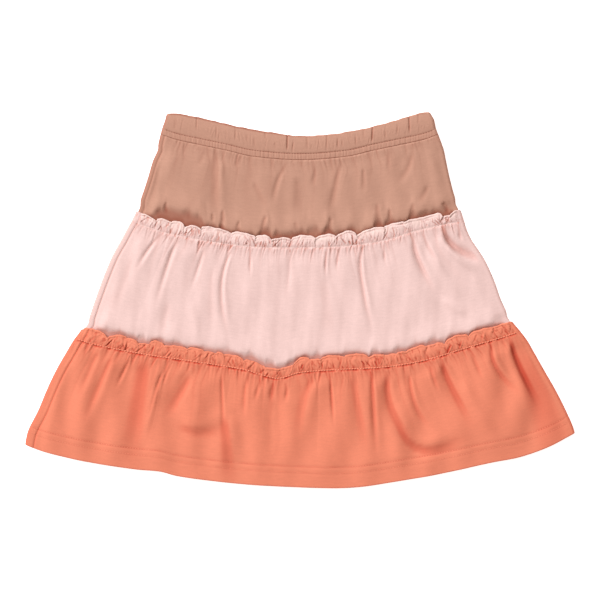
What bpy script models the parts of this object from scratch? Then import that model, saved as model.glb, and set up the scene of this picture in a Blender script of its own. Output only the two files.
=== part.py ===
"""A child's tiered ruffle skirt in cotton jersey, laid flat.

An elastic casing holds the waist. Below it hang three tiers, each a front and a back panel joined
at the side seams. The middle and bottom tiers are gathered on a line a little below their own top
edge and sewn over the end of the tier above, so that edge stands up as a narrow ruffle.

Metres, +Z up. X runs across the skirt, +Y points to the waist, and the back panels lie on Z = 0.
"""
import math
from dataclasses import dataclass
from typing import Callable, Optional

import bmesh
import bpy

# Cloth and seams
WALL = 0.0012
HEM_WALL = 0.0020
CASING_WALL = 0.0028
GAP = 0.0003
ALLOWANCE = 0.0050
COTTON_ROUGHNESS = 0.88

# Heights of the outer face of the cloth as it lies, one layer on the next
BACK_LIFT = WALL + GAP
SEAM_SLACK = 0.0007
INNER_TOP = BACK_LIFT + 2 * WALL + SEAM_SLACK
OUTER_TOP = INNER_TOP + GAP + WALL
CASING_SLACK = 0.0006
CASING_STEP = 0.0002
CASING_TOP = 2 * CASING_WALL + CASING_SLACK
BODY_TOP = 0.0064
SIDE_TOP = 0.0050
HEM_TOP = 0.0058
PUFF = 0.0024
RUFFLE_CLEARANCE = 0.0004

# How far each rise and fall of the cloth takes
FOLD_WIDTH = 0.0036
SIDE_ROLL = 0.0130
RISE = 0.0120
ROLL = 0.0090
PUFF_PLACE = 0.0150
PUFF_WIDTH = 0.0110
HEM_FALL = 0.0240
RUFFLE_FADE = 0.0060
LONGEST_REACH = 0.0056
TUCK_IN = 0.0020
GATHER_LIFT = 0.0013
GATHER_UNEVENNESS = 0.35
GATHER_DRIFT = 1.9

# Side folds of the flat skirt, from the hem up to the top of the waistband
OUTLINE = (
    # y, left x, right x
    (-0.1310, -0.2472, 0.2472),
    (-0.1174, -0.2443, 0.2464),
    (-0.0994, -0.2353, 0.2389),
    (-0.0814, -0.2278, 0.2299),
    (-0.0634, -0.2193, 0.2196),
    (-0.0454, -0.2090, 0.2094),
    (-0.0364, -0.2036, 0.2042),
    (-0.0274, -0.1969, 0.1974),
    (-0.0185, -0.1908, 0.1902),
    (-0.0004, -0.1843, 0.1809),
    (0.0175, -0.1778, 0.1745),
    (0.0355, -0.1706, 0.1663),
    (0.0445, -0.1661, 0.1607),
    (0.0536, -0.1608, 0.1545),
    (0.0625, -0.1561, 0.1501),
    (0.0716, -0.1509, 0.1472),
    (0.0805, -0.1469, 0.1444),
    (0.0895, -0.1435, 0.1401),
    (0.1075, -0.1374, 0.1350),
    (0.1255, -0.1320, 0.1311),
    (0.1346, -0.1278, 0.1293),
    (0.1399, -0.1274, 0.1275),
    (0.1472, -0.1257, 0.1248),
    (0.1543, -0.1238, 0.1221),
    (0.1615, -0.1212, 0.1206),
    (0.1651, -0.1203, 0.1188),
    (0.1690, -0.1184, 0.1166),
)

# Lines across the flat skirt, from the left fold to the right
WAIST_EDGE = (
    # x, y
    (-0.1190, 0.1675),
    (-0.1080, 0.1672),
    (-0.0810, 0.1617),
    (-0.0540, 0.1554),
    (-0.0270, 0.1507),
    (0.0000, 0.1474),
    (0.0270, 0.1488),
    (0.0540, 0.1532),
    (0.0810, 0.1599),
    (0.1080, 0.1679),
    (0.1180, 0.1690),
)
CASING_SEAM = (
    # x, y
    (-0.1260, 0.1491),
    (-0.1116, 0.1440),
    (-0.0891, 0.1390),
    (-0.0657, 0.1341),
    (-0.0432, 0.1289),
    (0.0000, 0.1256),
    (0.0432, 0.1289),
    (0.0657, 0.1341),
    (0.0891, 0.1390),
    (0.1116, 0.1440),
    (0.1250, 0.1491),
)
MIDDLE_SEAM = (
    # x, y
    (-0.1520, 0.0712),
    (-0.1242, 0.0612),
    (-0.0882, 0.0536),
    (-0.0630, 0.0500),
    (-0.0387, 0.0474),
    (0.0000, 0.0471),
    (0.0378, 0.0481),
    (0.0756, 0.0534),
    (0.1008, 0.0612),
    (0.1260, 0.0670),
    (0.1480, 0.0712),
)
BOTTOM_SEAM = (
    # x, y
    (-0.2030, -0.0340),
    (-0.1827, -0.0401),
    (-0.1368, -0.0490),
    (-0.0873, -0.0562),
    (-0.0495, -0.0625),
    (-0.0306, -0.0681),
    (-0.0189, -0.0702),
    (0.0000, -0.0650),
    (0.0315, -0.0625),
    (0.0765, -0.0599),
    (0.1116, -0.0540),
    (0.1485, -0.0430),
    (0.1832, -0.0328),
    (0.1990, -0.0275),
)
HEM_LINE = (
    # x, y
    (-0.2470, -0.1300),
    (-0.2295, -0.1363),
    (-0.1935, -0.1449),
    (-0.1476, -0.1521),
    (-0.1251, -0.1541),
    (-0.1107, -0.1580),
    (-0.0720, -0.1632),
    (-0.0360, -0.1664),
    (0.0270, -0.1689),
    (0.0540, -0.1678),
    (0.0900, -0.1624),
    (0.1260, -0.1561),
    (0.1728, -0.1458),
    (0.1980, -0.1409),
    (0.2232, -0.1318),
    (0.2472, -0.1193),
)

# Standing ruffles: each swells from its start to the start of the next, and the last row only ends
MIDDLE_RUFFLES = (
    # start x, lift, reach
    (-0.1467, 0.0014, 0.0022),
    (-0.1272, 0.0020, 0.0030),
    (-0.1044, 0.0012, 0.0018),
    (-0.0873, 0.0026, 0.0050),
    (-0.0607, 0.0020, 0.0024),
    (-0.0387, 0.0014, 0.0016),
    (-0.0261, 0.0018, 0.0018),
    (-0.0076, 0.0024, 0.0034),
    (0.0144, 0.0018, 0.0026),
    (0.0310, 0.0028, 0.0052),
    (0.0508, 0.0022, 0.0036),
    (0.0783, 0.0014, 0.0026),
    (0.0954, 0.0026, 0.0048),
    (0.1206, 0.0012, 0.0014),
    (0.1314, 0.0014, 0.0024),
    (0.1449, 0.0000, 0.0000),
)
BOTTOM_RUFFLES = (
    # start x, lift, reach
    (-0.1944, 0.0012, 0.0020),
    (-0.1773, 0.0018, 0.0024),
    (-0.1620, 0.0014, 0.0016),
    (-0.1467, 0.0020, 0.0026),
    (-0.1287, 0.0016, 0.0020),
    (-0.1098, 0.0022, 0.0030),
    (-0.0936, 0.0014, 0.0014),
    (-0.0810, 0.0018, 0.0018),
    (-0.0648, 0.0016, 0.0022),
    (-0.0495, 0.0020, 0.0018),
    (-0.0342, 0.0014, 0.0010),
    (-0.0189, 0.0016, 0.0016),
    (-0.0063, 0.0018, 0.0040),
    (0.0027, 0.0024, 0.0044),
    (0.0153, 0.0014, 0.0024),
    (0.0256, 0.0022, 0.0034),
    (0.0405, 0.0018, 0.0026),
    (0.0594, 0.0020, 0.0020),
    (0.0792, 0.0024, 0.0030),
    (0.0954, 0.0014, 0.0016),
    (0.1080, 0.0018, 0.0022),
    (0.1179, 0.0022, 0.0034),
    (0.1341, 0.0016, 0.0018),
    (0.1467, 0.0014, 0.0014),
    (0.1566, 0.0024, 0.0030),
    (0.1719, 0.0016, 0.0024),
    (0.1827, 0.0018, 0.0030),
    (0.1908, 0.0000, 0.0000),
)
MIDDLE_HEADING = 0.0084
BOTTOM_HEADING = 0.0094

# Folds in the lying cloth: a line of three places, how wide and how high, troughs below zero
TOP_FOLDS = (
    # x0, y0, x1, y1, x2, y2, width, height
    (-0.0760, 0.1323, -0.0760, 0.1035, -0.0760, 0.0747, 0.0050, -0.0010),
    (-0.0117, 0.1224, -0.0216, 0.1017, -0.0234, 0.0864, 0.0045, -0.0008),
    (0.0369, 0.1242, 0.0315, 0.0990, 0.0261, 0.0738, 0.0045, -0.0010),
    (-0.0414, 0.1053, -0.0360, 0.0936, -0.0297, 0.0810, 0.0045, -0.0007),
    (0.0567, 0.1170, 0.0567, 0.1062, 0.0567, 0.0954, 0.0045, -0.0007),
    (0.0999, 0.1287, 0.0981, 0.1152, 0.0846, 0.1044, 0.0045, -0.0008),
    (0.1152, 0.0999, 0.1107, 0.0936, 0.1062, 0.0864, 0.0045, -0.0008),
)
MIDDLE_FOLDS = (
    # x0, y0, x1, y1, x2, y2, width, height
    (-0.1224, 0.0594, -0.1368, 0.0423, -0.1503, 0.0225, 0.0045, -0.0010),
    (-0.1044, 0.0522, -0.1188, 0.0207, -0.1314, -0.0126, 0.0045, -0.0009),
    (-0.0855, 0.0486, -0.0927, 0.0270, -0.0972, 0.0000, 0.0045, -0.0009),
    (-0.0603, 0.0432, -0.0702, 0.0090, -0.0639, -0.0342, 0.0050, -0.0019),
    (0.0280, 0.0430, 0.0280, 0.0342, 0.0280, 0.0240, 0.0045, -0.0007),
    (0.0531, 0.0459, 0.0567, 0.0090, 0.0657, -0.0378, 0.0050, -0.0019),
    (0.1008, 0.0585, 0.1080, 0.0342, 0.1206, 0.0090, 0.0050, -0.0019),
    (0.1305, 0.0600, 0.1404, 0.0468, 0.1620, 0.0333, 0.0050, -0.0026),
)
BOTTOM_FOLDS = (
    # x0, y0, x1, y1, x2, y2, width, height
    (-0.1611, -0.0544, -0.1746, -0.0666, -0.1836, -0.0936, 0.0050, -0.0012),
    (-0.1381, -0.0540, -0.1440, -0.0765, -0.1620, -0.1170, 0.0055, -0.0024),
    (-0.1278, -0.0810, -0.1350, -0.0972, -0.1422, -0.1170, 0.0060, 0.0012),
    (-0.0648, -0.0652, -0.0711, -0.0711, -0.0711, -0.0819, 0.0045, -0.0009),
    (0.0252, -0.0680, 0.0261, -0.0740, 0.0279, -0.0828, 0.0045, -0.0010),
    (0.0792, -0.0640, 0.0819, -0.0882, 0.0990, -0.1188, 0.0045, -0.0010),
    (0.0990, -0.1188, 0.1188, -0.1269, 0.1422, -0.1179, 0.0050, -0.0008),
    (0.1071, -0.0640, 0.1125, -0.0783, 0.1188, -0.0972, 0.0045, -0.0009),
    (0.1224, -0.0590, 0.1350, -0.0828, 0.1476, -0.1053, 0.0050, -0.0024),
    (0.1323, -0.0660, 0.1476, -0.0882, 0.1602, -0.1080, 0.0060, 0.0012),
    (0.1769, -0.0470, 0.1800, -0.0639, 0.1998, -0.0819, 0.0050, -0.0013),
    (0.1872, -0.0400, 0.1980, -0.0648, 0.2160, -0.0918, 0.0055, -0.0024),
)

# Hollows between the puffs just above a ruffle, where the cloth starts to fall away sooner
TOP_WELLS = (
    # x, half width, extra length of the fall
    (-0.1206, 0.0150, 0.0060),
    (-0.0792, 0.0060, 0.0040),
    (-0.0693, 0.0050, 0.0090),
    (-0.0333, 0.0060, 0.0060),
    (0.0000, 0.0060, 0.0040),
    (0.0270, 0.0060, 0.0070),
    (0.0459, 0.0070, 0.0040),
    (0.0693, 0.0060, 0.0100),
    (0.1305, 0.0080, 0.0060),
)
MIDDLE_WELLS = (
    # x, half width, extra length of the fall
    (-0.1584, 0.0160, 0.0060),
    (-0.1215, 0.0070, 0.0040),
    (-0.0882, 0.0070, 0.0030),
    (-0.0468, 0.0080, 0.0050),
    (0.0162, 0.0080, 0.0060),
    (0.0477, 0.0080, 0.0050),
    (0.0666, 0.0070, 0.0070),
    (0.1071, 0.0080, 0.0060),
    (0.1341, 0.0090, 0.0080),
)
HEM_WAVES = (
    # x, half width, height
    (-0.1180, 0.0200, -0.0010),
    (-0.0500, 0.0300, 0.0008),
    (0.0300, 0.0260, 0.0006),
    (0.1300, 0.0240, -0.0009),
    (0.1950, 0.0200, 0.0009),
)

# Creases drawn across the casing by its elastic
CASING_CREASES = (
    # x, depth
    (-0.1026, 0.0003),
    (-0.0927, 0.0006),
    (-0.0738, 0.0007),
    (-0.0585, 0.0004),
    (-0.0432, 0.0004),
    (-0.0270, 0.0004),
    (-0.0113, 0.0008),
    (0.0063, 0.0004),
    (0.0239, 0.0006),
    (0.0358, 0.0006),
    (0.0500, 0.0005),
    (0.0648, 0.0009),
    (0.0765, 0.0005),
    (0.0873, 0.0005),
    (0.0981, 0.0009),
)
STEPS_PER_CREASE = 4
CREASE_SHARPNESS = 3.0
CASING_SECTION = (
    # share of the casing's depth above its seam, share of its wall inwards
    (0.00, 0.12),
    (0.15, 0.00),
    (0.84, 0.00),
    (0.97, 0.22),
    (1.00, 0.52),
    (0.95, 0.90),
    (0.80, 1.00),
    (0.00, 1.00),
)

# How finely the cloth is divided
RUFFLE_SHARES = (1.0, 0.5)
TUCKED_SHARES = (0.6, 1.0)
ARC_STEPS = 4
BACK_COLUMNS = 12
SOLVE_STEPS = 20


def smooth(t):
    """Ease from 0 to 1 as t goes from 0 to 1, and hold beyond."""
    t = min(max(t, 0.0), 1.0)
    return t * t * (3.0 - 2.0 * t)


def mix(a, b, share):
    """The value that lies the given share of the way from a to b."""
    return a + (b - a) * share


def curve(points):
    """A function that reads the smooth curve through (place, value) points."""
    places = [point[0] for point in points]
    values = [point[1] for point in points]
    last = len(points) - 1

    def slope(index):
        before = max(index - 1, 0)
        after = min(index + 1, last)
        return (values[after] - values[before]) / (places[after] - places[before])

    def read(place):
        index = 0
        while index < last - 1 and place > places[index + 1]:
            index += 1
        span = places[index + 1] - places[index]
        t = (place - places[index]) / span
        if t < 0.0 or t > 1.0:
            end = 0 if t < 0.0 else last
            return values[end] + slope(end) * (place - places[end])
        start_pull = t * (1.0 - t) ** 2 * span * slope(index)
        end_pull = t * t * (t - 1.0) * span * slope(index + 1)
        return mix(values[index], values[index + 1], smooth(t)) + start_pull + end_pull

    return read


left_fold = curve([(y, left) for y, left, _ in OUTLINE])
right_fold = curve([(y, right) for y, _, right in OUTLINE])


def ends_of(line):
    """Where a line across the skirt meets its two side folds."""
    ends = []
    for fold in (left_fold, right_fold):
        x = fold(line(0.0))
        for _ in range(SOLVE_STEPS):
            x = fold(line(x))
        ends.append(x)
    return ends


def ruffle_swell(ruffles, x):
    """Lift and reach of the ruffle at x; neighbours meet in a notch."""
    for (start, lift, reach), (end, _, _) in zip(ruffles, ruffles[1:]):
        if start <= x < end:
            swell = math.sin(math.pi * (x - start) / (end - start))
            return lift * swell, reach * swell
    return 0.0, 0.0


def distance_to_stretch(x, y, x0, y0, x1, y1):
    """Distance from a place to the straight stretch between two others."""
    along_x = x1 - x0
    along_y = y1 - y0
    share = ((x - x0) * along_x + (y - y0) * along_y) / (along_x ** 2 + along_y ** 2)
    share = min(max(share, 0.0), 1.0)
    return math.hypot(x - x0 - share * along_x, y - y0 - share * along_y)


def fold_height(folds, x, y):
    """What the folds add to the height of the cloth at a place."""
    total = 0.0
    for x0, y0, x1, y1, x2, y2, width, height in folds:
        first = distance_to_stretch(x, y, x0, y0, x1, y1)
        second = distance_to_stretch(x, y, x1, y1, x2, y2)
        total += height * math.exp(-(min(first, second) / width) ** 2)
    return total


def gather_swell(column, period):
    """Rise of the gathers at a column: one gather to each period, some taller than others."""
    wave = math.sin(math.pi * column / period) ** 2
    return wave * (1.0 + GATHER_UNEVENNESS * math.sin(GATHER_DRIFT * (column // period)))


def bump_sum(bumps, x):
    """Sum of rounded bumps (place, half width, size) at x."""
    return sum(size * math.exp(-((x - place) / half) ** 2) for place, half, size in bumps)


@dataclass
class Tier:
    """One tier: a tube of cloth between the seam it hangs from and the line that ends it."""
    name: str
    colour: tuple
    top: Callable
    bottom: Callable
    top_height: float
    columns: int
    gather_period: int
    seam_inset: float
    folds: tuple
    rows: tuple
    wells: tuple = ()
    ruffles: tuple = ()
    heading: float = 0.0
    next_heading: Optional[float] = None

    def free_edge(self, x):
        """Line of the ruffle's raw edge."""
        return self.top(x) + self.heading + ruffle_swell(self.ruffles, x)[1]

    def shown_end(self, x):
        """Line where the cloth goes under the ruffle below, or ends in its hem."""
        return self.bottom(x) + (self.next_heading or 0.0)

    def tucked_end(self, x):
        """Line where the cloth ends, under the tier below."""
        return self.bottom(x) - ALLOWANCE

    def height_above_ruffle(self, x, y):
        """Distance from a place up the skirt from the ruffle that ends this tier."""
        return y - self.bottom(x) - self.next_heading

    def tucked_share(self, x, y):
        """1 where the back and side folds lie inside the tier below, easing to 0 above it."""
        if self.next_heading is None:
            return 0.0
        above = self.height_above_ruffle(x, y) - LONGEST_REACH
        return 1.0 - smooth(above / ROLL)

    def back_height(self, x, y):
        """Underside of the back panel: flat, and lifted where it lies on the tier below."""
        return BACK_LIFT * self.tucked_share(x, y)

    def fold_inset(self, x, y):
        """How far the side fold is drawn in, to fit inside the tier below."""
        return TUCK_IN * self.tucked_share(x, y)

    def front_height(self, x, y, side):
        """Top of the front panel at a place; side is its distance from the nearer fold."""
        body = BODY_TOP + fold_height(self.folds, x, y)
        edge = SIDE_TOP
        if self.next_heading is None:
            above_hem = y - self.bottom(x)
            hem = HEM_TOP + bump_sum(HEM_WAVES, x)
            body = mix(hem, body, smooth(above_hem / HEM_FALL))
        else:
            above = self.height_above_ruffle(x, y)
            body += PUFF * math.exp(-((above - PUFF_PLACE) / PUFF_WIDTH) ** 2)
            body = mix(INNER_TOP, body, smooth(above / (ROLL + bump_sum(self.wells, x))))
            edge = mix(edge, INNER_TOP, self.tucked_share(x, y))
        below = (self.top(x) - y - ALLOWANCE - GAP) / RISE
        body = mix(self.top_height, body, smooth(below))
        edge = mix(self.top_height, edge, smooth(below))
        return mix(edge, body, smooth((side - FOLD_WIDTH) / SIDE_ROLL))


@dataclass
class Row:
    """One row of points round a tier, a share of the way from one line to another."""
    start: Callable
    end: Callable
    share: float
    fine: bool = True
    gather: float = 0.0
    standing: float = 0.0
    hem: bool = False

    def __post_init__(self):
        self.start_ends = ends_of(self.start)
        self.end_ends = ends_of(self.end)

    def y_at(self, across):
        """Height up the skirt at a share of the way across it."""
        start = self.start(mix(*self.start_ends, across))
        end = self.end(mix(*self.end_ends, across))
        return mix(start, end, self.share)


def tier_rows(tier):
    """All the rows of a tier, from its top edge down."""
    rows = []
    if tier.ruffles:
        for share in RUFFLE_SHARES:
            rows.append(Row(tier.top, tier.free_edge, share, standing=share))
    for share, fine, gather, hem in tier.rows:
        rows.append(Row(tier.top, tier.shown_end, share, fine, gather, 0.0, hem))
    if tier.next_heading is not None:
        for share in TUCKED_SHARES:
            rows.append(Row(tier.shown_end, tier.tucked_end, share, fine=rows[-1].fine))
    return rows


class Ring:
    """The closed line of one row round the flattened tier."""

    def __init__(self, tier, row):
        self.tier = tier
        self.row = row
        left_y = row.y_at(0.0)
        right_y = row.y_at(1.0)
        self.left = left_fold(left_y)
        self.right = right_fold(right_y)
        self.left += tier.fold_inset(self.left, left_y)
        self.right -= tier.fold_inset(self.right, right_y)

    def y_at(self, x):
        """Height up the skirt at a place across it."""
        return self.row.y_at((x - self.left) / (self.right - self.left))

    def front(self, x, column=0):
        """A point on the front; its column says where in a gather it is."""
        y = self.y_at(x)
        side = min(x - self.left, self.right - x)
        fade = smooth((side - FOLD_WIDTH) / RUFFLE_FADE)
        if self.row.standing:
            lift = ruffle_swell(self.tier.ruffles, x)[0] + RUFFLE_CLEARANCE
            return (x, y, OUTER_TOP + fade * lift * self.row.standing)
        swell = gather_swell(column, self.tier.gather_period)
        z = self.tier.front_height(x, y, side) + fade * self.row.gather * GATHER_LIFT * swell
        return (x, y, z)

    def back(self, x):
        """A point on the underside."""
        y = self.y_at(x)
        return (x, y, self.tier.back_height(x, y))

    def arc(self, end):
        """Points round a side fold, from the front face down to the underside."""
        inwards = 1.0 if end == self.left else -1.0
        top = self.front(end + inwards * FOLD_WIDTH)[2]
        bottom = self.back(end)[2]
        radius = (top - bottom) / 2
        points = []
        for step in range(ARC_STEPS + 1):
            angle = math.pi * step / ARC_STEPS
            x = end + inwards * radius * (1.0 - math.sin(angle))
            points.append((x, self.y_at(x), bottom + radius * (1.0 + math.cos(angle))))
        return points

    def front_panel(self):
        """Keyed points of the front panel: across the front and round the right fold."""
        arc = self.arc(self.right)
        start = self.left + self.tier.seam_inset + GAP
        end = arc[0][0]
        points = []
        for column in range(self.tier.columns):
            if self.row.fine or column % 2 == 0:
                x = mix(start, end, column / self.tier.columns)
                points.append((column, self.front(x, column)))
        tail = arc + [self.back(self.right - self.tier.seam_inset)]
        points += [(self.tier.columns + step, point) for step, point in enumerate(tail)]
        return points

    def back_panel(self):
        """Keyed points of the back panel: across the underside and round the left fold."""
        arc = self.arc(self.left)[::-1]
        start = self.right - self.tier.seam_inset - GAP
        end = arc[0][0]
        points = []
        for column in range(BACK_COLUMNS):
            points.append((column, self.back(mix(start, end, column / BACK_COLUMNS))))
        tail = arc + [self.front(self.left + self.tier.seam_inset)]
        points += [(BACK_COLUMNS + step, point) for step, point in enumerate(tail)]
        return points


def jersey(name, colour):
    """Matt cotton jersey in one colour."""
    material = bpy.data.materials.new(name)
    material.use_nodes = True
    shader = material.node_tree.nodes["Principled BSDF"]
    shader.inputs["Base Color"].default_value = (*colour, 1.0)
    shader.inputs["Roughness"].default_value = COTTON_ROUGHNESS
    shader.inputs["Metallic"].default_value = 0.0
    return material


def new_object(name, mesh, colour):
    """Turn a bmesh into a named object with its own material."""
    data = bpy.data.meshes.new(name)
    mesh.to_mesh(data)
    mesh.free()
    data.materials.append(jersey(name, colour))
    data.shade_smooth()
    body = bpy.data.objects.new(name, data)
    bpy.context.scene.collection.objects.link(body)
    return body


def join_rows(mesh, upper, lower):
    """Faces between two rows of (key, vertex); either row may leave out keys of the other."""
    i = 0
    j = 0
    while i < len(upper) - 1 or j < len(lower) - 1:
        upper_key = upper[i + 1][0] if i < len(upper) - 1 else math.inf
        lower_key = lower[j + 1][0] if j < len(lower) - 1 else math.inf
        corners = [lower[j][1]]
        if lower_key <= upper_key:
            j += 1
            corners.append(lower[j][1])
        if upper_key <= lower_key:
            corners.append(upper[i + 1][1])
        corners.append(upper[i][1])
        if upper_key <= lower_key:
            i += 1
        mesh.faces.new(corners)


def make_panel(name, colour, rows, hem_rows):
    """A wall of cloth from rows of outer points, thicker at the rows of the turned hem."""
    mesh = bmesh.new()
    keyed_rows = []
    for row in rows:
        keyed_rows.append([(key, mesh.verts.new(point)) for key, point in row])
    for upper, lower in zip(keyed_rows, keyed_rows[1:]):
        join_rows(mesh, upper, lower)
    mesh.verts.index_update()
    hem_points = []
    for keyed_row, in_hem in zip(keyed_rows, hem_rows):
        if in_hem:
            hem_points += [vertex.index for _, vertex in keyed_row]
    panel = new_object(name, mesh, colour)
    solidify = panel.modifiers.new("Wall", "SOLIDIFY")
    solidify.offset = -1.0
    solidify.thickness = WALL
    if hem_points:
        hem = panel.vertex_groups.new(name="hem")
        hem.add(hem_points, 1.0, "REPLACE")
        solidify.vertex_group = hem.name
        solidify.thickness = HEM_WALL
        solidify.thickness_vertex_group = WALL / HEM_WALL
    return panel


def make_tier(tier):
    """The front and back panels of one tier."""
    rows = tier_rows(tier)
    rings = [Ring(tier, row) for row in rows]
    hem_rows = [row.hem for row in rows]
    fronts = [ring.front_panel() for ring in rings]
    backs = [ring.back_panel() for ring in rings]
    make_panel(tier.name + "_front", tier.colour, fronts, hem_rows)
    make_panel(tier.name + "_back", tier.colour, backs, hem_rows)


def casing_stations():
    """Places round the casing: share across, crease depth, and angle round the side fold."""
    left, right = ends_of(casing_middle)
    radius = CASING_TOP / 2
    places = [left + radius] + [x for x, _ in CASING_CREASES] + [right - radius]
    depths = [0.0] + [depth for _, depth in CASING_CREASES] + [0.0]
    stations = []
    for index in range(len(places) - 1):
        for step in range(STEPS_PER_CREASE):
            t = step / STEPS_PER_CREASE
            x = mix(places[index], places[index + 1], t)
            before = depths[index] * (1.0 - t) ** CREASE_SHARPNESS
            after = depths[index + 1] * t ** CREASE_SHARPNESS
            stations.append((x, before + after, 0.0))
    for step in range(ARC_STEPS):
        stations.append((right - radius, 0.0, math.pi * step / ARC_STEPS))
    for column in range(BACK_COLUMNS):
        stations.append((mix(right - radius, left + radius, column / BACK_COLUMNS), 0.0, math.pi))
    for step in range(ARC_STEPS):
        stations.append((left + radius, 0.0, math.pi * (1.0 + step / ARC_STEPS)))
    return [((x - left) / (right - left), depth, angle) for x, depth, angle in stations]


def make_casing():
    """The waistband: one closed ring of turned cloth with its elastic inside."""
    seam_ends = ends_of(casing_seam)
    edge_ends = ends_of(waist_edge)
    radius = CASING_TOP / 2
    mesh = bmesh.new()
    loops = []
    for across, crease, angle in casing_stations():
        turn = radius * math.sin(angle)
        seam_y = casing_seam(mix(*seam_ends, across) + turn)
        edge_y = waist_edge(mix(*edge_ends, across) + turn)
        loop = []
        for up, inwards in CASING_SECTION:
            y = mix(seam_y, edge_y - crease, up)
            left = left_fold(mix(casing_seam(seam_ends[0]), waist_edge(edge_ends[0]), up))
            right = right_fold(mix(casing_seam(seam_ends[1]), waist_edge(edge_ends[1]), up))
            out = radius - inwards * CASING_WALL - crease * (1.0 - inwards)
            x = mix(left, right, across) + out * math.sin(angle)
            loop.append(mesh.verts.new((x, y, radius + out * math.cos(angle))))
        loops.append(loop)
    for loop, following in zip(loops, loops[1:] + loops[:1]):
        for index, corner in enumerate(loop):
            after = (index + 1) % len(loop)
            mesh.faces.new((corner, following[index], following[after], loop[after]))
    return new_object("waistband", mesh, TAN)


TAN = (0.60, 0.33, 0.23)
PINK = (0.90, 0.63, 0.57)
CORAL = (0.86, 0.25, 0.16)

waist_edge = curve(WAIST_EDGE)
casing_seam = curve(CASING_SEAM)
middle_seam = curve(MIDDLE_SEAM)
bottom_seam = curve(BOTTOM_SEAM)
hem_line = curve(HEM_LINE)


def casing_middle(x):
    """Line half-way up the casing."""
    return mix(casing_seam(x), waist_edge(x), 0.5)


def below_casing(x):
    """Top edge of the top tier, clear of the casing."""
    return casing_seam(x) - GAP


# Rows of each tier: share of the way down from its seam, full columns, gathering, turned hem
TOP_ROWS = (
    (0.00, True, 0.0, False),
    (0.05, True, 0.6, False),
    (0.14, True, 0.5, False),
    (0.28, True, 0.2, False),
    (0.44, True, 0.0, False),
    (0.58, True, 0.0, False),
    (0.69, True, 0.0, False),
    (0.78, True, 0.0, False),
    (0.85, True, 0.0, False),
    (0.91, True, 0.0, False),
    (0.96, True, 0.0, False),
    (1.00, True, 0.0, False),
)
MIDDLE_ROWS = (
    (0.000, True, 0.0, False),
    (0.030, True, 1.0, False),
    (0.075, True, 1.0, False),
    (0.150, False, 0.7, False),
    (0.270, False, 0.2, False),
    (0.410, False, 0.0, False),
    (0.550, False, 0.0, False),
    (0.680, False, 0.0, False),
    (0.780, False, 0.0, False),
    (0.860, False, 0.0, False),
    (0.920, False, 0.0, False),
    (0.965, False, 0.0, False),
    (1.000, False, 0.0, False),
)
BOTTOM_ROWS = (
    (0.000, True, 0.0, False),
    (0.035, True, 1.0, False),
    (0.090, True, 1.0, False),
    (0.180, False, 0.7, False),
    (0.300, False, 0.2, False),
    (0.420, False, 0.0, False),
    (0.540, False, 0.0, False),
    (0.660, False, 0.0, False),
    (0.785, False, 0.0, False),
    (0.795, False, 0.0, True),
    (1.000, False, 0.0, True),
)

TIERS = (
    Tier(
        name="top_tier",
        colour=TAN,
        top=below_casing,
        bottom=middle_seam,
        top_height=CASING_TOP - CASING_STEP,
        columns=54,
        gather_period=3,
        seam_inset=0.0040,
        folds=TOP_FOLDS,
        rows=TOP_ROWS,
        wells=TOP_WELLS,
        next_heading=MIDDLE_HEADING,
    ),
    Tier(
        name="middle_tier",
        colour=PINK,
        top=middle_seam,
        bottom=bottom_seam,
        top_height=OUTER_TOP,
        columns=96,
        gather_period=4,
        seam_inset=0.0055,
        folds=MIDDLE_FOLDS,
        rows=MIDDLE_ROWS,
        wells=MIDDLE_WELLS,
        ruffles=MIDDLE_RUFFLES,
        heading=MIDDLE_HEADING,
        next_heading=BOTTOM_HEADING,
    ),
    Tier(
        name="bottom_tier",
        colour=CORAL,
        top=bottom_seam,
        bottom=hem_line,
        top_height=OUTER_TOP,
        columns=128,
        gather_period=4,
        seam_inset=0.0080,
        folds=BOTTOM_FOLDS,
        rows=BOTTOM_ROWS,
        ruffles=BOTTOM_RUFFLES,
        heading=BOTTOM_HEADING,
    ),
)

for old in list(bpy.data.objects):
    bpy.data.objects.remove(old, do_unlink=True)

make_casing()
for skirt_tier in TIERS:
    make_tier(skirt_tier)
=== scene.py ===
"""A child's tiered ruffle skirt in cotton jersey, laid flat and seen from above.

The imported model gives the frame. Each of its panels is stood for here by a finer sheet of cloth on
the same lines, with its pleats, creases, knit and stitching.
"""
import math
import random
from dataclasses import dataclass
from typing import Callable, Optional

import bpy
import numpy as np
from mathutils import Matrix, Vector


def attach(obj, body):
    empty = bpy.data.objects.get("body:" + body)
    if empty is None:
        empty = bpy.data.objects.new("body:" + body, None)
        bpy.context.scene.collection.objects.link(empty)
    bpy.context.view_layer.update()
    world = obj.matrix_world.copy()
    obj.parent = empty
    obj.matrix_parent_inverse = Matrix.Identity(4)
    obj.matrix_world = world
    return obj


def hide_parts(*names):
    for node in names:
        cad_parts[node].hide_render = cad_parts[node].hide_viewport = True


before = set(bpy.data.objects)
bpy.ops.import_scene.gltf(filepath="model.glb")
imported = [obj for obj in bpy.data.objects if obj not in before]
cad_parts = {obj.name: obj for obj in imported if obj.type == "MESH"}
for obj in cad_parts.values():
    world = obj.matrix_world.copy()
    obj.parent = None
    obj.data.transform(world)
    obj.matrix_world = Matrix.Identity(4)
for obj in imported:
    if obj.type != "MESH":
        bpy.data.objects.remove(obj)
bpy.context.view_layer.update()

MM = 0.001

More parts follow.
